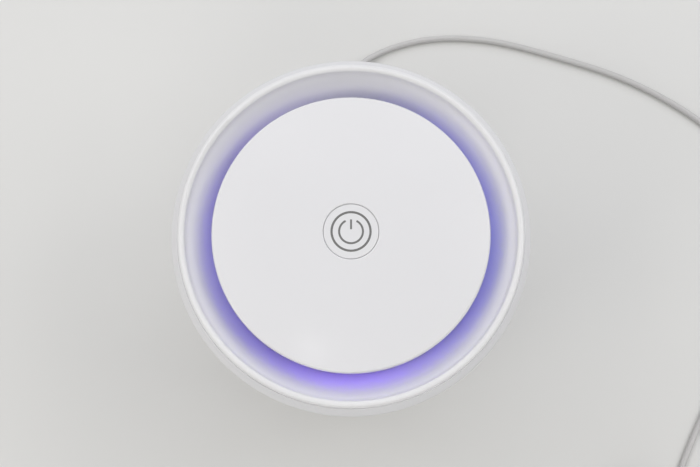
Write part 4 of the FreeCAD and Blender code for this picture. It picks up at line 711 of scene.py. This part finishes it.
@dataclass
class PowerSymbol:
    """Pad-printed power symbol in a ring on the button: a raised film of ink."""

    ring_radius: float = 9.0 * MM
    ring_line: float = 1.05 * MM
    arc_radius: float = 5.5 * MM
    arc_line: float = 0.95 * MM
    arc_gap: float = 27.0  # degrees on each side of the top
    bar_low: float = 1.0 * MM
    bar_high: float = 5.6 * MM
    bar_share: float = 0.95  # width of the bar against the arc's
    ink: float = 0.03 * MM
    lift: float = 0.002 * MM  # keeps the film's underside off the button's face
    crown: float = 0.96  # width of the film's top against its foot
    arc_steps: int = 96
    bar_steps: int = 8
    top: float = field(init=False)

    def __post_init__(self) -> None:
        """Find the height of the button's face."""
        self.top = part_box("power_button")[1][2]

    def band(
        self, build: bmesh.types.BMesh, spine: list[Vector], width: float, closed: bool
    ) -> None:
        """Add a flat raised band along a line.

        Args:
            build: The mesh to add to.
            spine: Points of the middle line.
            width: The band's width.
            closed: Whether the line closes on itself.
        """
        low = self.top + self.lift
        high = low + self.ink
        rows = []
        for i, point in enumerate(spine):
            before = spine[i - 1] if closed or i else point
            after = spine[(i + 1) % len(spine)] if closed or i < len(spine) - 1 else point
            along = (after - before).normalized()
            foot = Vector((-along.y, along.x, 0)) * width / 2
            edge = foot * self.crown
            row = []
            for offset, height in ((foot, low), (edge, high), (-edge, high), (-foot, low)):
                row.append(build.verts.new((point.x + offset.x, point.y + offset.y, height)))
            rows.append(row)
        pairs = list(zip(rows, rows[1:]))
        if closed:
            pairs.append((rows[-1], rows[0]))
        else:
            build.faces.new(rows[0])
            build.faces.new(rows[-1][::-1])
        for first, second in pairs:
            for i in range(len(first)):
                j = (i + 1) % len(first)
                build.faces.new((first[i], first[j], second[j], second[i]))

    def arc(self, radius: float, start: float, end: float, count: int) -> list[Vector]:
        """Points of an arc.

        Args:
            radius: The arc's radius.
            start: First angle in degrees from +Y, clockwise.
            end: Last angle.
            count: Number of points.

        Returns:
            The points.
        """
        points = []
        for i in range(count):
            turn = math.radians(start + (end - start) * i / (count - 1))
            points.append(Vector((radius * math.sin(turn), radius * math.cos(turn), 0)))
        return points

    def build(self, wardrobe: Wardrobe) -> bpy.types.Object:
        """Make the print.

        Args:
            wardrobe: The materials.

        Returns:
            The object.
        """
        build = bmesh.new()
        ring = self.arc(self.ring_radius, 0, 360, self.arc_steps + 1)[:-1]
        self.band(build, ring, self.ring_line, True)
        arc = self.arc(self.arc_radius, self.arc_gap, 360 - self.arc_gap, self.arc_steps)
        self.band(build, arc, self.arc_line, False)
        rise = self.bar_high - self.bar_low
        bar = []
        for i in range(self.bar_steps + 1):
            bar.append(Vector((0, self.bar_low + rise * i / self.bar_steps, 0)))
        self.band(build, bar, self.arc_line * self.bar_share, False)
        piece = mesh_object("power_symbol", build)
        wardrobe.dress(piece, "symbol_ink")
        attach(piece, "button")
        return piece


class Column(Enum):
    """Where a turn of the coil lies in its cross-section: radius and height in millimetres."""

    START = (21.0, 2.6)
    OUTER_LOW = (22.95, 2.7)
    INNER_LOW = (19.15, 2.8)
    INNER_HIGH = (19.25, 6.5)
    OUTER_HIGH = (22.7, 6.6)
    END = (21.4, 6.3)


@dataclass
class PowerLead:
    """Thin round lead from the plug at the back, over the table to a coil and the far plug."""

    diameter: float = 3.6 * MM
    length: float = 1.13
    coil_middle: tuple[float, float] = (172.0, -148.0)  # millimetres, as the points below
    per_turn: int = 14  # control points
    smooth_steps: int = 8  # steps from one control point to the next
    round_steps: int = 6  # fineness of the tube's round section
    route: tuple[Point, ...] = (
        (0.0, 113.5, 20.0),
        (1.2, 123.2, 15.4),
        (4.6, 131.4, 9.0),
        (10.8, 138.0, 3.8),
        (19.6, 143.2, 1.9),
        (30.5, 147.4, 1.9),
        (43.5, 150.8, 1.9),
        (58.5, 152.6, 1.9),
        (76.0, 152.4, 1.9),
        (94.0, 150.2, 1.9),
        (113.0, 145.6, 1.9),
        (140.0, 137.6, 1.9),
        (168.0, 128.6, 1.9),
        (196.0, 115.2, 1.9),
        (222.0, 98.2, 1.9),
        (243.0, 79.0, 1.9),
        (256.0, 56.0, 1.9),
        (260.0, 30.0, 1.9),
        (256.5, 3.0, 1.9),
        (247.0, -24.0, 1.9),
        (231.5, -54.0, 1.9),
        (214.5, -86.5, 1.9),
        (201.0, -115.0, 1.9),
        (194.4, -134.0, 2.3),
    )
    winding: tuple[tuple[float, Column], ...] = (  # turns from the start, and the place there
        (0.0, Column.START),
        (0.22, Column.OUTER_LOW),
        (0.95, Column.OUTER_LOW),
        (1.2, Column.INNER_LOW),
        (1.95, Column.INNER_LOW),
        (2.15, Column.INNER_HIGH),
        (2.95, Column.INNER_HIGH),
        (3.2, Column.OUTER_HIGH),
        (4.05, Column.OUTER_HIGH),
        (4.25, Column.END),
    )
    tail: tuple[Point, ...] = ((161.5, -169.8, 5.2), (151.0, -171.0, 4.2))

    def section(self, turn: float) -> tuple[float, float]:
        """Find where the lead lies in the coil's cross-section.

        Args:
            turn: Turns from the coil's start.

        Returns:
            The radius and the height in millimetres.
        """
        for (start, low), (end, high) in zip(self.winding, self.winding[1:]):
            if turn <= end:
                break
        share = (turn - start) / (end - start)
        share = share * share * (3 - 2 * share)
        radius, height = (a + (b - a) * share for a, b in zip(low.value, high.value))
        return radius, height

    def coil_points(self) -> list[Point]:
        """Points of the coil's turns, clockwise from above, two turns wide and two high.

        Returns:
            The points in millimetres.
        """
        turns = self.winding[-1][0]
        count = round(turns * self.per_turn)
        x, y = self.coil_middle
        points = []
        for i in range(count + 1):
            turn = turns * i / count
            radius, height = self.section(turn)
            angle = -2 * math.pi * turn
            points.append((x + radius * math.cos(angle), y + radius * math.sin(angle), height))
        return points

    def curve(self, points: list[Point]) -> bpy.types.Curve:
        """Lay one smooth round tube along control points.

        Args:
            points: The control points in metres.

        Returns:
            The curve.
        """
        curve = bpy.data.curves.new("power_lead", "CURVE")
        curve.dimensions = "3D"
        spline = curve.splines.new("NURBS")
        spline.points.add(len(points) - 1)
        for spot, point in zip(spline.points, points):
            spot.co = (*point, 1.0)
        spline.order_u = 3
        spline.use_endpoint_u = True
        spline.resolution_u = self.smooth_steps
        curve.bevel_depth = self.diameter / 2
        curve.bevel_resolution = self.round_steps
        curve.use_fill_caps = True
        return curve

    def build(self, wardrobe: Wardrobe) -> bpy.types.Object:
        """Args:
            wardrobe: The materials.

        Returns:
            The object.
        """
        low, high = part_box("dc_plug")
        leave = (0.0, high[1], (low[2] + high[2]) / 2)
        low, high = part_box("usb_plug_body")
        end = (high[0], (low[1] + high[1]) / 2, (low[2] + high[2]) / 2)
        between = metres([*self.route, *self.coil_points(), *self.tail])
        piece = bpy.data.objects.new("power_lead", self.curve([leave, *between, end]))
        bpy.context.scene.collection.objects.link(piece)
        wardrobe.dress(piece, "cord_pvc")
        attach(piece, "housing")
        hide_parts("power_cord", "cord_coil")
        return piece


@dataclass(frozen=True)
class Lamp:
    """One soft area light. Its place and size are in metres, its power in watts."""

    name: str
    place: Point
    size: tuple[float, float]
    power: float
    colour: str

    def build(self, look: Point) -> None:
        """Add the light.

        Args:
            look: The point that it faces.
        """
        data = bpy.data.lights.new(self.name, "AREA")
        data.shape = "RECTANGLE"
        data.size, data.size_y = self.size
        data.energy = self.power
        data.color = linear(self.colour)[:3]
        light = bpy.data.objects.new(self.name, data)
        light.location = self.place
        along = Vector(look) - Vector(self.place)
        light.rotation_euler = along.to_track_quat("-Z", "Y").to_euler()
        bpy.context.scene.collection.objects.link(light)


# Wide soft lamps from behind and above with weaker ones in front. All face the object.
LAMPS = (
    Lamp("window_back_left", (-1.1, 0.9, 1.3), (1.2, 1.2), 5.2, "fafbff"),
    Lamp("window_back_right", (1.1, 0.9, 1.3), (1.2, 1.2), 6.5, "fafbff"),
    Lamp("window_back", (0, 1.6, 1.1), (1.6, 1.0), 6.5, "f6f8ff"),
    Lamp("ceiling_back", (0, 1.0, 1.8), (1.2, 0.8), 1.3, "ffffff"),
    Lamp("ceiling_left", (-1.4, 0.1, 1.7), (1.1, 1.1), 4.7, "fffaf0"),
    Lamp("ceiling_right", (1.4, 0.1, 1.7), (1.1, 1.1), 7.3, "fffdf8"),
    Lamp("wall_front_left", (-1.3, -0.75, 1.5), (0.7, 0.7), 6.0, "fffcf6"),
    Lamp("ceiling_front", (0.1, -1.0, 1.8), (0.8, 0.6), 3.2, "fffdf8"),
    Lamp("wall_front", (0.1, -1.9, 0.75), (1.4, 0.9), 4.2, "fdfcfa"),
    Lamp("small_panel", (-0.21, -0.34, 1.95), (0.16, 0.07), 0.28, "ffffff"),
)


@dataclass
class Studio:
    """Pale table, soft light from all round, and the camera that looks down from the front.

    Lengths are in metres.
    """

    aim: Point = (-0.00048, -0.00075, 0.175)
    distance: float = 0.5
    tilt: float = 8.66  # degrees that the camera leans back from straight above
    lens: float = 55.54  # millimetres, as the sensor's width
    sensor: float = 36.0
    nearest: float = 0.01
    table_half: float = 12.0
    table_colour: str = "d7d7d5"
    table_fade: tuple[float, float] = (0.5, 1.8)
    backdrop_colour: str = "d2d1d0"
    room_colour: str = "fcfcff"
    ambient: float = 0.38
    lit_point: Point = (0, 0, 0.1)

    def table(self) -> None:
        """Make the table top."""
        build = bmesh.new()
        half = self.table_half
        corners = ((-half, -half), (half, -half), (half, half), (-half, half))
        build.faces.new([build.verts.new((x, y, 0)) for x, y in corners])
        piece = mesh_object("table_top", build)
        finish = TableTop(
            "lacquered_board", self.table_colour, self.backdrop_colour, self.table_fade
        )
        piece.data.materials.append(finish.build())

    def lights(self) -> None:
        """Add the lamps, the room's even light and the backdrop, which lights nothing."""
        for lamp in LAMPS:
            lamp.build(self.lit_point)
        world = bpy.data.worlds.new("room")
        bpy.context.scene.world = world
        world.use_nodes = True
        tree = world.node_tree
        tree.nodes.clear()
        room = add_node(
            tree,
            "ShaderNodeBackground",
            {"Color": linear(self.room_colour), "Strength": self.ambient},
        )
        backdrop = add_node(
            tree,
            "ShaderNodeBackground",
            {"Color": linear(self.backdrop_colour), "Strength": 1.0},
        )
        both = add_node(
            tree,
            "ShaderNodeMixShader",
            links={0: shown(tree), 1: room.outputs[0], 2: backdrop.outputs[0]},
        )
        add_node(tree, "ShaderNodeOutputWorld", links={"Surface": both.outputs[0]})

    def camera(self) -> None:
        """Place the camera."""
        data = bpy.data.cameras.new("camera")
        data.lens = self.lens
        data.sensor_width = self.sensor
        data.clip_start = self.nearest
        camera = bpy.data.objects.new("camera", data)
        lean = math.radians(self.tilt)
        back = Vector((0, -math.sin(lean), math.cos(lean)))
        camera.location = Vector(self.aim) + back * self.distance
        camera.rotation_euler = (lean, 0, 0)
        bpy.context.scene.collection.objects.link(camera)
        bpy.context.scene.camera = camera

    def build(self) -> None:
        """Make the whole studio."""
        self.table()
        self.lights()
        self.camera()
        bpy.context.scene.view_settings.view_transform = "Standard"


def main() -> None:
    """Build every piece in order."""
    logging.basicConfig(level=logging.INFO)
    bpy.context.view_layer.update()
    wardrobe = Wardrobe(FINISHES)
    wardrobe.dress_nodes()
    Studio().build()
    LOG.info("built the studio")
    for part in (PowerLead(), PowerSymbol()):
        piece = part.build(wardrobe)
        LOG.info("built %s", piece.name)


if __name__ == "__main__":
    main()
